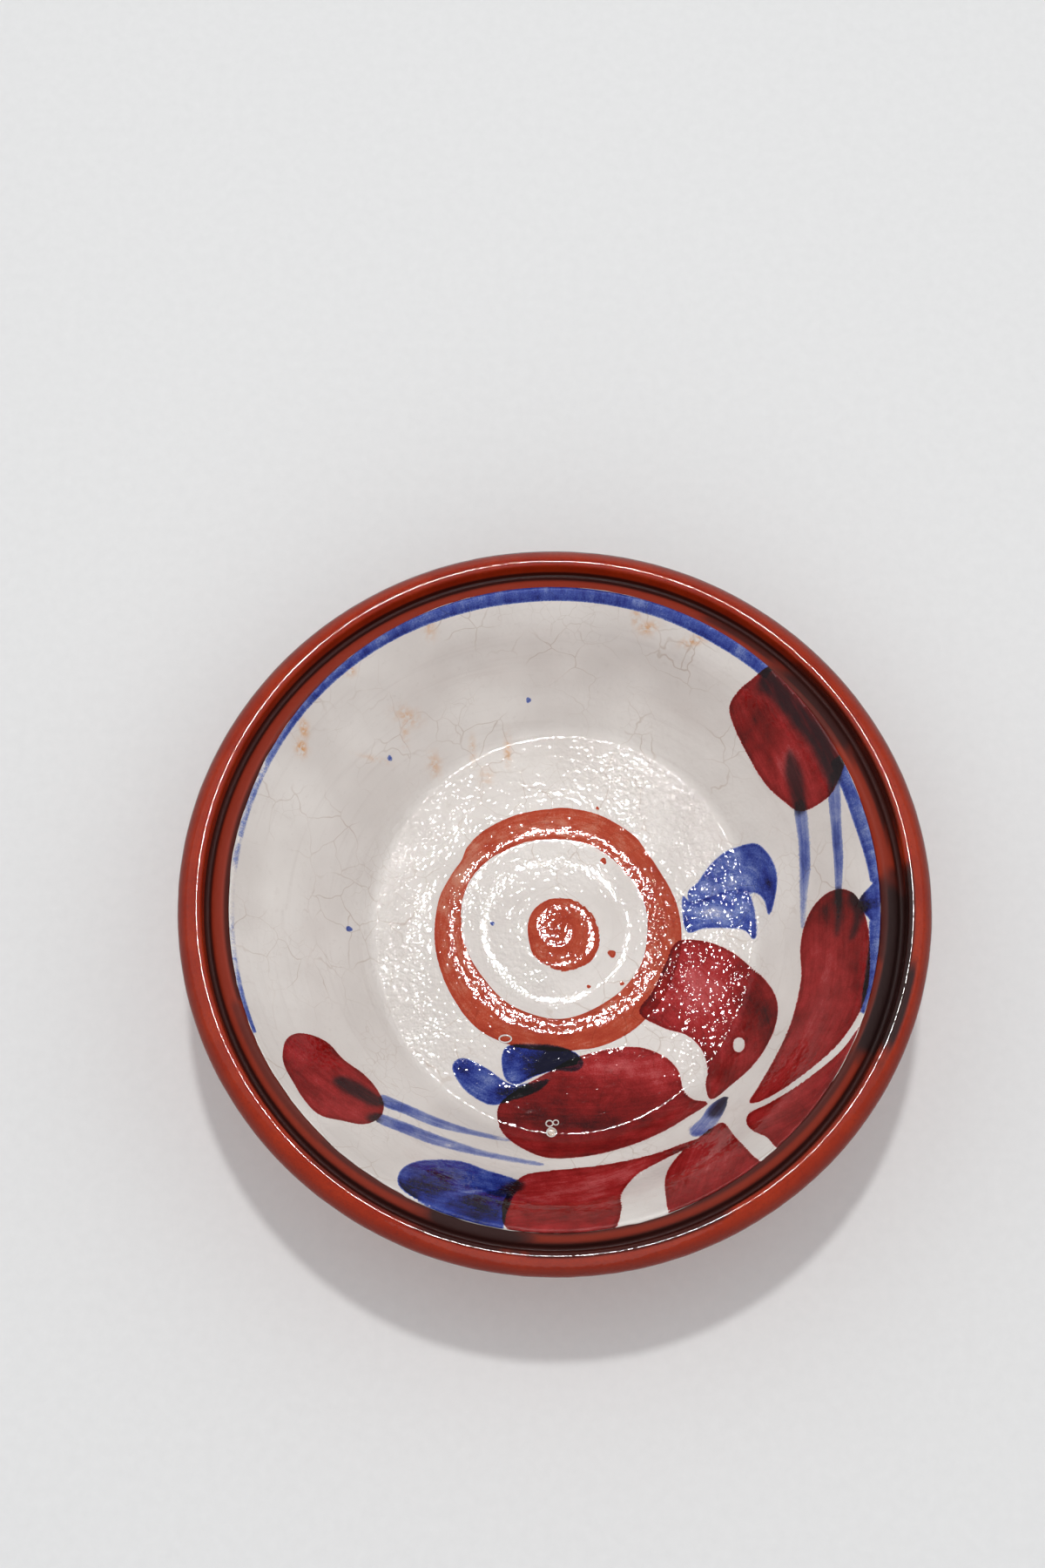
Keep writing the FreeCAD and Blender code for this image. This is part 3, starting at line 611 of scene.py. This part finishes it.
def colour(r, g, b):
    """A colour given as it shows on a screen."""
    line = [c / 255 / 12.92 if c <= 10.3 else ((c / 255 + 0.055) / 1.055) ** 2.4 for c in (r, g, b)]
    return (*line, 1)


GLAZE_IOR = 1.34


class Wiring:
    """Short ways to add and join nodes."""

    def __init__(self, tree):
        self.tree = tree

    def add(self, kind, *values, **settings):
        node = self.tree.nodes.new("ShaderNode" + kind)
        for key, value in settings.items():
            setattr(node, key, value)
        for socket, value in zip(node.inputs, values):
            self.put(socket, value)
        return node

    def put(self, socket, value):
        if isinstance(value, bpy.types.NodeSocket):
            self.tree.links.new(value, socket)
        elif value is not None:
            socket.default_value = value

    def math(self, operation, a, b=None, clamp=False):
        return self.add("Math", a, b, operation=operation, use_clamp=clamp).outputs[0]

    def plus(self, a, b, clamp=False):
        return self.math("ADD", a, b, clamp)

    def times(self, a, b, clamp=False):
        return self.math("MULTIPLY", a, b, clamp)

    def swing(self, value, reach):
        """A noise's swing about its middle, made so many times as large."""
        return self.times(self.math("SUBTRACT", value, 0.5), reach)

    def step(self, value, low, high, to_low=0, to_high=1):
        numbers = (value, low, high, to_low, to_high)
        return self.add("MapRange", *numbers, interpolation_type="SMOOTHSTEP", clamp=True).outputs[0]

    def scale(self, value, factors):
        return self.add("VectorMath", value, factors, operation="MULTIPLY").outputs[0]

    def noise(self, place, scale, detail=2, rough=0.5, distort=0, colour_out=False):
        node = self.add("TexNoise", place)
        for key, number in (("Scale", scale), ("Detail", detail), ("Roughness", rough), ("Distortion", distort)):
            node.inputs[key].default_value = number
        return node.outputs["Color" if colour_out else "Fac"]

    def mix(self, factor, a, b, blend="MIX"):
        node = self.add("Mix", factor, data_type="RGBA", blend_type=blend, clamp_factor=True)
        self.put(node.inputs[6], a)
        self.put(node.inputs[7], b)
        return node.outputs[2]

    def ramp(self, value, stops):
        node = self.add("ValToRGB", value)
        elements = node.color_ramp.elements
        while len(elements) < len(stops):
            elements.new(0.5)
        for element, (position, shade) in zip(elements, stops):
            element.position = position
            element.color = colour(*shade)
        return node.outputs[0]

    def attribute(self, name, field="Fac"):
        return self.add("Attribute", attribute_name=name).outputs[field]

    def place(self):
        """Where a point lies, in millimetres."""
        return self.scale(self.add("TexCoord").outputs["Object"], (1000, 1000, 1000))

    def split(self, vector):
        return self.add("SeparateXYZ", vector).outputs

    def reach(self, x, y):
        """How far a place lies from the axis."""
        return self.math("SQRT", self.plus(self.math("POWER", x, 2), self.math("POWER", y, 2)))

    def group(self, name):
        return self.add("Group", node_tree=bpy.data.node_groups[name]).outputs[0]


def new_group(name, output):
    tree = bpy.data.node_groups.new(name, "ShaderNodeTree")
    tree.interface.new_socket("Result", in_out="OUTPUT", socket_type=output)
    return Wiring(tree), tree.nodes.new("NodeGroupOutput").inputs[0]


SKIN_CALM, SKIN_THICK, SKIN_RIM = 0.2, 1.25, -0.07
SKIN_HEIGHT = 0.22 * MM


def make_glaze_skin():
    """The uneven skin of the glaze, the same over all that it covers: dimpled where it lay thick on
    the floor, calmer in the middle, on the wall and at the rim."""
    w, out = new_group("glaze_skin", "NodeSocketVector")
    place = w.place()
    x, y, _ = w.split(place)
    patchy = w.step(w.noise(place, 0.16, 2, 0.6), 0.38, 0.62, 0.25, 1)
    rim = w.times(w.step(w.reach(x, y), 69, 70.4), SKIN_RIM)
    thick = w.times(w.times(w.attribute("thick"), patchy), SKIN_THICK)
    strength = w.plus(w.plus(SKIN_CALM, rim), thick)
    fine = w.plus(w.noise(place, 0.95, 0, 0.5, 0.3), w.times(w.noise(place, 2.1, 0, 0.5), 0.3))
    bump = w.add("Bump")
    bump.inputs["Strength"].default_value = 1.0
    bump.inputs["Distance"].default_value = SKIN_HEIGHT
    w.put(bump.inputs["Height"], w.times(fine, strength))
    w.put(out, bump.outputs["Normal"])


def make_slip_ground():
    """The white slip under the glaze: mottled, crazed and stained."""
    w, out = new_group("slip_ground", "NodeSocketColor")
    place = w.place()
    cloud = w.noise(place, 0.05, 3, 0.5)
    shade = w.mix(w.step(cloud, 0.3, 0.7), colour(200, 193, 187), colour(212, 206, 200))
    fine = w.noise(place, 0.7, 3, 0.6)
    shade = w.mix(w.step(fine, 0.55, 0.8, 0, 0.35), shade, colour(190, 181, 174))
    # Faint darker rings round the axis
    x, y, _ = w.split(place)
    join = w.add("CombineXYZ", w.times(w.reach(x, y), 0.9), w.times(w.math("ARCTAN2", y, x), 1.3))
    rings = w.noise(join.outputs[0], 1, 3, 0.6)
    shade = w.mix(w.step(rings, 0.5, 0.85, 0, 0.4), shade, colour(184, 174, 168))
    # Crazing: wide cells and, in other places, small ones
    bend = w.scale(w.noise(place, 0.15, 2, 0.5, colour_out=True), (5, 5, 5))
    bent = w.add("VectorMath", place, bend, operation="ADD").outputs[0]
    wide_where = w.step(w.noise(place, 0.06, 2, 0.5), 0.42, 0.66)
    small_where = w.step(w.noise(place, 0.045, 2, 0.5, 0.6), 0.5, 0.68)
    for scale, width, where, strength, tint in ((0.13, 0.022, wide_where, 0.42, colour(150, 122, 98)),
                                                (0.36, 0.03, small_where, 0.3, colour(160, 138, 120))):
        cells = w.add("TexVoronoi", bent, feature="DISTANCE_TO_EDGE")
        cells.inputs["Scale"].default_value = scale
        crack = w.step(cells.outputs[0], 0, width, 1, 0)
        shade = w.mix(w.times(w.times(crack, where), strength), shade, tint)
    ragged = w.step(w.noise(place, 0.8, 3, 0.6), 0.34, 0.6)
    stain = w.times(w.times(w.attribute("stain"), 1.6), ragged, clamp=True)
    w.put(out, w.mix(stain, shade, colour(196, 140, 82)))


def glazed(name):
    """A new material under the glaze, its wiring and the sockets of its shader."""
    material = bpy.data.materials.new(name)
    material.use_nodes = True
    w = Wiring(material.node_tree)
    sockets = material.node_tree.nodes["Principled BSDF"].inputs
    sockets["IOR"].default_value = GLAZE_IOR
    w.put(sockets["Normal"], w.group("glaze_skin"))
    return material, w, sockets


def slip_gloss(w):
    """Glossy inside, duller over the lip."""
    return w.step(w.attribute("out"), 63.6, 64.8, 0.06, 0.42)


NO_TINT = (0, (255, 255, 255))

# Each colour: how soft its edge is, how thickly it lies, how much streaks and grains change that, how
# much it pools at the edge, and the tint of each thickness.
COLOURS = (
    ("ring", 0.16, 0.64, 0.22, 0.36, 0.1, (
        (0.3, (234, 168, 144)), (0.62, (204, 86, 58)), (0.85, (182, 60, 36)), (1, (140, 44, 26)))),
    ("red", 0.12, 0.63, 0.18, 0.34, 0.12, (
        (0.25, (222, 108, 112)), (0.5, (184, 46, 48)), (0.72, (144, 22, 20)), (0.88, (108, 12, 10)),
        (1, (70, 6, 6)))),
    ("blue", 0.28, 0.5, 0.2, 0.62, 0.14, (
        (0.25, (142, 162, 224)), (0.5, (74, 98, 190)), (0.72, (36, 56, 160)), (0.88, (22, 32, 110)),
        (1, (12, 12, 48)))),
    ("stem", 0.5, 0.42, 0.3, 0.4, 0, (
        (0.25, (158, 174, 226)), (0.55, (90, 110, 192)), (0.85, (50, 64, 150)), (1, (26, 30, 90)))),
)


def make_painted(name):
    """The colours laid on the slip. Each one filters what lies under it, and more where it is thick."""
    material, w, sockets = glazed(name)
    place = w.place()
    rough_edge = w.swing(w.noise(place, 2.6, 3, 0.6), 0.55)
    flow = w.attribute("flow", "Vector")
    streak = w.noise(w.scale(flow, (0.1, 2.1, 1)), 1, 3, 0.6)
    broad = w.noise(w.scale(flow, (0.07, 0.55, 1)), 1, 2, 0.5)
    speckle = w.noise(place, 3.4, 2, 0.7)
    cloud = w.noise(place, 0.3, 2, 0.55)
    tone = w.times(w.attribute("tone"), 0.75)
    shade = w.group("slip_ground")
    for key, fade, load, streaks, grains, pool, stops in COLOURS:
        depth = w.plus(w.attribute("edge_" + key), rough_edge)
        swings = ((streak, streaks * 1.6), (broad, streaks * 1.2), (speckle, grains), (cloud, grains * 1.3))
        amount = load
        for field, reach in swings:
            amount = w.plus(amount, w.swing(field, reach))
        amount = w.plus(amount, tone)
        amount = w.plus(amount, w.step(depth, 0.1, 1, pool, 0))
        amount = w.times(amount, w.step(depth, -fade, fade), clamp=True)
        shade = w.mix(1, shade, w.ramp(amount, (NO_TINT,) + stops), "MULTIPLY")
    brushed = w.step(w.noise(w.scale(flow, (0.15, 1.2, 1)), 1, 2), 0.25, 0.55, 0.84, 1)
    dark = w.times(w.times(w.attribute("dark"), brushed), 0.9, clamp=True)
    w.put(sockets["Base Color"], w.mix(dark, shade, colour(24, 12, 16)))
    w.put(sockets["Roughness"], slip_gloss(w))
    return material


def make_lining():
    material, w, sockets = glazed("white_slip_glazed")
    w.put(sockets["Base Color"], w.group("slip_ground"))
    w.put(sockets["Roughness"], slip_gloss(w))
    return material


def make_clay():
    """Red earthenware: deep and glossy under the glaze, pale and dry below it."""
    material, w, sockets = glazed("red_earthenware")
    place = w.place()
    cloud = w.step(w.noise(place, 0.12, 3, 0.55), 0.3, 0.7)
    fine = w.noise(place, 1.4, 3, 0.65)
    grainy = w.step(fine, 0.45, 0.8, 0, 0.5)
    specks = w.noise(place, 5, 2, 0.7)
    wet = w.mix(cloud, colour(136, 33, 8), colour(150, 42, 12))
    wet = w.mix(grainy, wet, colour(112, 28, 12))
    wet = w.mix(w.step(specks, 0.7, 0.8, 0, 0.5), wet, colour(196, 120, 84))
    # The bead's outer side is painted darker here: painted shade.
    wet = w.mix(w.step(w.attribute("out"), 72.4, 74.6, 0, 0.7), wet, colour(98, 22, 7))
    wet = w.mix(w.attribute("ledge"), wet, colour(122, 34, 11))
    # Dark: painted shade in the groove, with pooled glaze there, and colour run over the rim.
    wet = w.mix(w.attribute("dark"), wet, colour(26, 12, 11))
    dry = w.mix(cloud, colour(176, 92, 58), colour(194, 112, 76))
    dry = w.mix(grainy, dry, colour(150, 72, 44))
    dry = w.mix(w.step(specks, 0.66, 0.78, 0, 0.6), dry, colour(214, 150, 112))
    under_glaze = w.step(w.plus(w.attribute("glaze"), w.swing(fine, 0.5)), 0.35, 0.6)
    w.put(sockets["Base Color"], w.mix(under_glaze, dry, wet))
    gloss = w.step(w.attribute("out"), 69.4, 70.1, 0.62, 0.07)
    w.put(sockets["Roughness"], w.plus(gloss, w.step(under_glaze, 0, 1, 0.75, 0), clamp=True))
    return material


make_glaze_skin()
make_slip_ground()
LINING = make_lining()
CLAY = make_clay()
PAINTED = {slot: make_painted(slot + "_glazed") for slot in ("red_slip", "red_paint", "blue_paint")}


# The bowl

TURNS = 720

# Stains in the crazed glaze: x, y, half lengths both ways, strength.
STAINS = [
    (-42.3, 49, 1.3, 0.9, 0.8), (-51, 36.5, 0.8, 1.6, 0.6), (-51.6, 33, 1, 1.4, 0.7),
    (-25.5, 58.4, 1.2, 1.6, 0.35), (19.8, 59, 1.8, 0.9, 0.5), (29.4, 55.7, 2.6, 0.7, 0.5),
    (17.3, 61, 0.8, 1.4, 0.4), (58.7, 24.8, 1.2, 0.5, 0.6), (-30.5, 43.5, 2.4, 1.4, 0.35),
    (-31, 41, 0.7, 2.6, 0.3), (-17, 40, 0.6, 2.2, 0.35), (-9.5, 40, 0.7, 2.8, 0.45),
    (-25, 36, 1.2, 2, 0.35), (-37, 34.5, 3, 0.5, 0.25), (-14, 34, 1.4, 1.6, 0.25),
]
SLIP_DEPTH = 0.45


def build_lining():
    near_edge = [SLIP_EDGE - 0.5, SLIP_EDGE - 0.25, SLIP_EDGE]
    top = [(r, 0) for r in np.concatenate([np.arange(0, SLIP_EDGE - 0.6, 0.45), near_edge])]
    lip = [(SLIP_EDGE + 0.1, -0.1), (SLIP_EDGE + 0.12, -0.3)]
    under = [(r, -SLIP_DEPTH) for r in np.arange(SLIP_EDGE - 0.3, 0, -1.6)] + [(0, -SLIP_DEPTH)]

    def shift(r, drop, turn):
        ragged = 0.22 * round_grain(turn, 8, 1.3, 5) + 0.08 * round_grain(turn, 30, 1, 6)
        reach = slip_edge(*spun(1, turn)) - SLIP_EDGE + ragged
        r = r + reach * smooth(58, SLIP_EDGE, r)
        return r, lined_height(*spun(r, turn)) + drop

    points, faces = turned(top + lip + under, TURNS, shift)
    x, y = points[:, 0], points[:, 1]
    stain = np.zeros(len(points))
    for sx, sy, rx, ry, strength in STAINS:
        stain = np.maximum(stain, strength * np.exp(-((x - sx) / rx) ** 2 - ((y - sy) / ry) ** 2))
    add_piece("slip_lining", points, faces, LINING, ["white_slip_lining"],
              {"stain": stain, "thick": thickness_at(points[:, :2]), "out": np.hypot(x, y)})


# The clay's section: under the slip, over the ledge and groove, round the bead, down the outside.
CLAY_INSIDE = [(0, 9.2), (38.3, 9.2), (64.2, 34)]
CLAY_RIM = [
    (64.2, 34), (64.8, 34.8), (65.3, 35.6), (65.9, 36.05), (66.7, 35.9), (67.8, 35.6), (68.4, 35.3),
    (68.7, 34.7), (69.25, 34.5), (69.75, 35), (69.95, 36.4), (70, 37.6), (70.15, 38.5), (70.75, 38.97),
    (71.7, 38.92), (72.9, 38.42), (74, 37.6), (74.8, 36.6), (75.1, 35.6), (74.8, 34.5), (74, 33.8),
    (72.9, 33.5), (71.5, 33.4), (70.2, 32.9), (69.2, 32.2)]
CLAY_OUTSIDE = [(69.2, 32.2), (66.5, 29.3), (60.7, 22.6), (53.2, 14.6), (48.2, 10.3), (42.6, 6.9), (39.6, 5.4),
                (38.6, 4.4)]
CLAY_FOOT = [(38.6, 4.4), (38.2, 3.2), (37.4, 1.6), (36.9, 0.5), (36.2, 0.02), (34.5, 0), (31.5, 0),
             (30.2, 0.1), (29.9, 0.8), (29.5, 2.4), (28.8, 3.1), (26, 3.25)]
CLAY_UNDER = [(26, 3.25), (12, 3.3), (0, 3.3)]
UNDER_SLIP, UNDER_LIP = 0.75, 0.35
RIM_FROM = 34

# Dark places on the ledge, the groove and the bead: angle from and to in degrees, radius from and to,
# strength.
DARK_ARCS = [
    (-29, 4, 66, 71.2, 0.97), (-28, -12, 68, 72.4, 0.95), (-12, 5, 64.5, 66.6, 0.8),
    (-28, -12, 64.5, 66.6, 0.5), (26, 46, 66.4, 70.2, 0.9), (10, 28, 67.4, 70.2, 0.85),
    (46, 62, 67, 70, 0.8), (-96, -26, 65, 67, 0.72), (-113, -95, 65, 71.6, 0.92),
    (-96, -62, 69, 71.8, 0.88), (-60, -30, 68.4, 70.6, 0.6), (-134, -108, 64.9, 67, 0.7),
    (-134, -108, 68.6, 71, 0.6), (-160, -131, 64.2, 67.2, 0.55), (150, 200, 64, 65.8, 0.8),
    (100, 150, 65.2, 66.2, 0.35), (29, 47, 65, 67.6, 0.62),
]
ARC_FADE, ARC_SIDE_FADE = 3, 0.35


def uneven_clay(r, z, turn, under_slip):
    """The clay's section as a hand leaves it: the floor under the slip, the bead, the ledge, the
    throwing rings outside and the turned sole."""
    x, y = spun(r, turn)
    z = np.where(under_slip, lined_height(x, y) - UNDER_SLIP - UNDER_LIP * smooth(60, 64, r), z)
    where = np.stack([x, y, z], -1)
    bead = smooth(69.4, 71, r) * smooth(33, 34.5, z)
    r = r - 0.05 * (1 + round_grain(turn, 3, 1, 8)) * bead - 0.03 * (1 + grain(where, 2.2, 9)) * bead
    z = z - 0.07 * (1 + round_grain(turn, 3, 1, 10)) * bead
    ledge = between(65, 66, 67.8, 69, r) * (z > RIM_FROM)
    z = z + ledge * (0.12 * grain(where, 6, 12) + 0.03 * grain(where, 1.2, 13))
    wall = between(5, 8, 30, 32.5, z) * (r > 38) * ~under_slip
    rings = 0.1 * np.sin(2 * np.pi * (z / 3.1 + 0.35 * np.sin(turn) + 0.15 * grain(where, 16, 14)))
    rings += 0.05 * np.sin(2 * np.pi * (z / 1.13 + 0.8 * grain(where, 9, 15)))
    r = r + wall * (rings + 0.1 * grain(where, 14, 16) - 0.1)
    squeeze = between(66.5, 68.5, 70.5, 73.5, r) * (z > RIM_FROM) * 0.28
    r = r + squeeze * (0.6 - np.cos(2 * turn)) * ~under_slip
    sole = smooth(27.5, 24, r) * (z < 4.5)
    z = z + sole * 0.12 * np.sin(2 * np.pi * (r / 2.6 + turn / (2 * np.pi)))
    return r, z


def darkness_at(x, y, z):
    """How dark the clay is: painted shade in the groove, where dark glaze also pooled, and where colour ran over
    the rim.
    """
    r, turn = np.hypot(x, y), np.degrees(np.arctan2(y, x))
    on_rim = z > RIM_FROM
    # The groove: painted shade, together with the glaze pooled dark there.
    dark = 0.9 * (between(68, 68.7, 70.2, 70.9, r) * smooth(36.1, 35.3, z) * on_rim)
    wobble = 2.5 * grain(np.stack([x, y, z], -1), 2.5, 20)
    for start, end, near, far, strength in DARK_ARCS:
        span = end - start
        t = (turn + wobble - start) % 360
        t = np.where(t > 180 + span / 2, t - 360, t)
        along = between(-ARC_FADE, ARC_FADE, span - ARC_FADE, span + ARC_FADE, t)
        across = between(near - ARC_SIDE_FADE, near + ARC_SIDE_FADE, far - ARC_SIDE_FADE, far + ARC_SIDE_FADE, r)
        dark = np.maximum(dark, strength * along * across * on_rim)
    return dark


def build_clay():
    inner = even(CLAY_INSIDE, 1.2)[:-1]
    rim = even(rounded(CLAY_RIM, 3), 0.27)[:-1]
    outside = even(rounded(CLAY_OUTSIDE, 3), 0.75)[:-1]
    foot = even(rounded(CLAY_FOOT, 2), 0.35)[:-1]
    profile = np.concatenate([inner, rim, outside, foot, even(CLAY_UNDER, 1.3)])
    slip_rows = len(inner) - 1

    def shift(r, z, turn):
        return uneven_clay(r, z, turn, np.arange(len(r)) < slip_rows * TURNS)

    points, faces = turned(profile, TURNS, shift)
    x, y, z = points.T
    r, turn = np.hypot(x, y), np.arctan2(y, x)
    ledge = between(65.2, 65.8, 68.4, 69.2, r) * (z > RIM_FROM) * 0.85
    drip = 31.6 - 1.6 * round_grain(turn, 5, 1, 21)
    drip -= 1.2 * np.clip(round_grain(turn, 14, 1, 22), 0, 1) ** 2 * 3
    glaze = smooth(drip - 0.8, drip + 0.8, z)
    glaze[(r < 64.6) & (z > 33)] = 1
    add_piece("earthenware_body", points, faces, CLAY, ["clay_body"],
              {"dark": darkness_at(x, y, z), "ledge": ledge, "glaze": glaze, "out": r})


# Burst bubbles in the glaze: name, x, y, half length, half width, thickness. Their lips take the white slip's
# material as a painted highlight.
BUBBLES = [
    ("glaze_bubble_ring", -10, -23, 1.25, 0.75, 0.16),
    ("glaze_bubble_pair_a", -1, -40.5, 0.7, 0.6, 0.14),
    ("glaze_bubble_pair_b", 0.3, -40.3, 0.55, 0.5, 0.12),
    ("glaze_bubble_low", -0.6, -42.3, 0.95, 0.9, 0.14),
]
BUBBLE_AROUND, BUBBLE_ACROSS = 40, 10
BUBBLE_LIFT = 0.14
PINHOLE_X, PINHOLE_Y, PINHOLE_RADIUS, PINHOLE_LIFT = -0.6, -42.3, 0.75, 0.17


def build_bubbles():
    """Low ring-shaped lips of glaze, painted white as their highlight, and the bare spot inside one of them."""
    faces = grid_faces(BUBBLE_AROUND, BUBBLE_ACROSS, BUBBLE_AROUND)
    i, j = np.divmod(np.arange(BUBBLE_AROUND * BUBBLE_ACROSS), BUBBLE_ACROSS)
    t, u = 2 * np.pi * i / BUBBLE_AROUND, 2 * np.pi * j / BUBBLE_ACROSS
    for name, cx, cy, long_half, wide_half, thick in BUBBLES:
        x = cx + (long_half + thick * np.cos(u)) * np.cos(t)
        y = cy + (wide_half + thick * np.cos(u)) * np.sin(t)
        z = 0.7 * thick * np.sin(u) + lined_height(x, y) + BUBBLE_LIFT
        # The white of the slip on these lips is painted highlight.
        add_piece(name, np.column_stack([x, y, z]), faces, LINING)
    loop = closed_curve(drop_outline(PINHOLE_X, PINHOLE_Y, PINHOLE_RADIUS), SMALL_STEP)
    points, faces, _ = film(dict(loops=[loop], patches=[]), PINHOLE_LIFT, SMALL_LATTICE, 0.2)
    add_piece("glaze_pinhole", points, faces, LINING, (), {"stain": np.full(len(points), 0.25)})


# How high each colour's film lies over the slip, and its slot.
LAYERS = {"ring": (0.02, "red_slip"), "red": (0.028, "red_paint"), "blue": (0.036, "blue_paint")}


def build_painting():
    for index, (name, stroke) in enumerate(painting.items()):
        lift, slot = LAYERS[stroke["colour"]]
        small = stroke.get("small")
        cells = (SMALL_LATTICE, SMALL_LATTICE) if small else (LATTICE, BORDER)
        points, faces, values = film(stroke, lift + 0.003 * (index % 3), *cells)
        piece_name, nodes = (name, ()) if small else (name + "_brushed", [name])
        add_piece(piece_name, points, faces, PAINTED[slot], nodes, values)


build_lining()
build_clay()
build_painting()
build_bubbles()


# Floor, light and camera

BACKDROP = colour(226, 226, 225)
FLOOR_HALF = 6.0


def seen_directly(w):
    """One for the camera's own rays and for what gloss and glass show, nothing for the rest."""
    path = w.add("LightPath").outputs
    direct = w.plus(path["Is Camera Ray"], path["Is Glossy Ray"])
    return w.plus(direct, path["Is Transmission Ray"], clamp=True)


def build_stage():
    mesh = bpy.data.meshes.new("studio_floor")
    signs = ((-1, -1), (1, -1), (1, 1), (-1, 1))
    mesh.from_pydata([(x * FLOOR_HALF, y * FLOOR_HALF, 0) for x, y in signs], [], [(0, 1, 2, 3)])
    floor = placed("studio_floor", mesh)
    material = bpy.data.materials.new("pale_floor")
    material.use_nodes = True
    w = Wiring(material.node_tree)
    shader = material.node_tree.nodes["Principled BSDF"]
    place = w.place()
    grit = w.noise(place, 0.4, 3, 0.6)
    w.put(shader.inputs["Base Color"], w.mix(grit, colour(208, 208, 207), colour(216, 216, 215)))
    shader.inputs["Roughness"].default_value = 0.9
    # Far from the bowl the floor shows the backdrop.
    far = w.add("Emission", BACKDROP)
    length = w.add("VectorMath", place, operation="LENGTH").outputs["Value"]
    share = w.times(w.step(length, 350, 1300), seen_directly(w))
    blend = w.add("MixShader", share, shader.outputs[0], far.outputs[0])
    w.put(material.node_tree.nodes["Material Output"].inputs[0], blend.outputs[0])
    mesh.materials.append(material)


def build_room():
    """A plain room with a pale backdrop low down all round."""
    world = bpy.data.worlds.new("pale_room")
    world.use_nodes = True
    w = Wiring(world.node_tree)
    background = world.node_tree.nodes["Background"]
    height = w.split(w.add("TexCoord").outputs["Generated"])[2]
    low = w.times(w.step(height, 0.34, 0.1), seen_directly(w))
    w.put(background.inputs[0], w.mix(low, colour(196, 197, 200), BACKDROP))
    background.inputs[1].default_value = 1.0
    bpy.context.scene.world = world


LIT_PLACE = (0, 0, 0.02)
KEY_PLACE, KEY_SIZE, KEY_POWER = (0, 0.36, 1.3), 0.08, 6.5
SOFT_AWAY, SOFT_HEIGHT, SOFT_SIZE = 1.5, 1.6, 2.0
SOFT_LIGHTS = (("soft_left", 165, 6), ("soft_right", 15, 5.5), ("soft_near", -90, 10))


def area_light(name, place, size, energy):
    data = bpy.data.lights.new(name, "AREA")
    data.shape = "DISK"
    data.size = size
    data.energy = energy
    light = placed(name, data)
    light.location = place
    light.visible_camera = False
    light.rotation_mode = "QUATERNION"
    light.rotation_quaternion = (Vector(LIT_PLACE) - Vector(place)).to_track_quat("-Z", "Y")


def build_light():
    area_light("key_light", KEY_PLACE, KEY_SIZE, KEY_POWER)
    for name, turn, energy in SOFT_LIGHTS:
        t = math.radians(turn)
        area_light(name, (SOFT_AWAY * math.cos(t), SOFT_AWAY * math.sin(t), SOFT_HEIGHT), SOFT_SIZE, energy)


# The camera was fitted to the rim and the floor of the bowl in the photograph.
EYE_HEIGHT, EYE_TILT, EYE_ROLL = 36.4, 71.2, -0.14
EYE_AWAY, EYE_SIDE, EYE_UP = 484.4, -6.375, 22.15
SENSOR, LENS = 36, 56


def build_camera():
    tilt, roll = math.radians(EYE_TILT), math.radians(EYE_ROLL)
    back = Vector((0, -math.cos(tilt), math.sin(tilt)))
    right = Vector((0, 0, 1)).cross(back).normalized()
    up = back.cross(right)
    right, up = math.cos(roll) * right + math.sin(roll) * up, -math.sin(roll) * right + math.cos(roll) * up
    place = Vector((0, 0, EYE_HEIGHT)) + EYE_SIDE * right + EYE_UP * up + EYE_AWAY * back
    data = bpy.data.cameras.new("photo_view")
    data.sensor_fit = "VERTICAL"
    data.sensor_height = SENSOR
    data.lens = LENS
    data.clip_start, data.clip_end = 0.01, 20
    eye = placed("photo_view", data)
    turn = Matrix((right, up, back)).transposed().to_4x4()
    eye.matrix_world = Matrix.Translation(place * MM) @ turn
    bpy.context.scene.camera = eye


build_stage()
build_room()
build_light()
build_camera()
bpy.context.scene.view_settings.view_transform = "Standard"
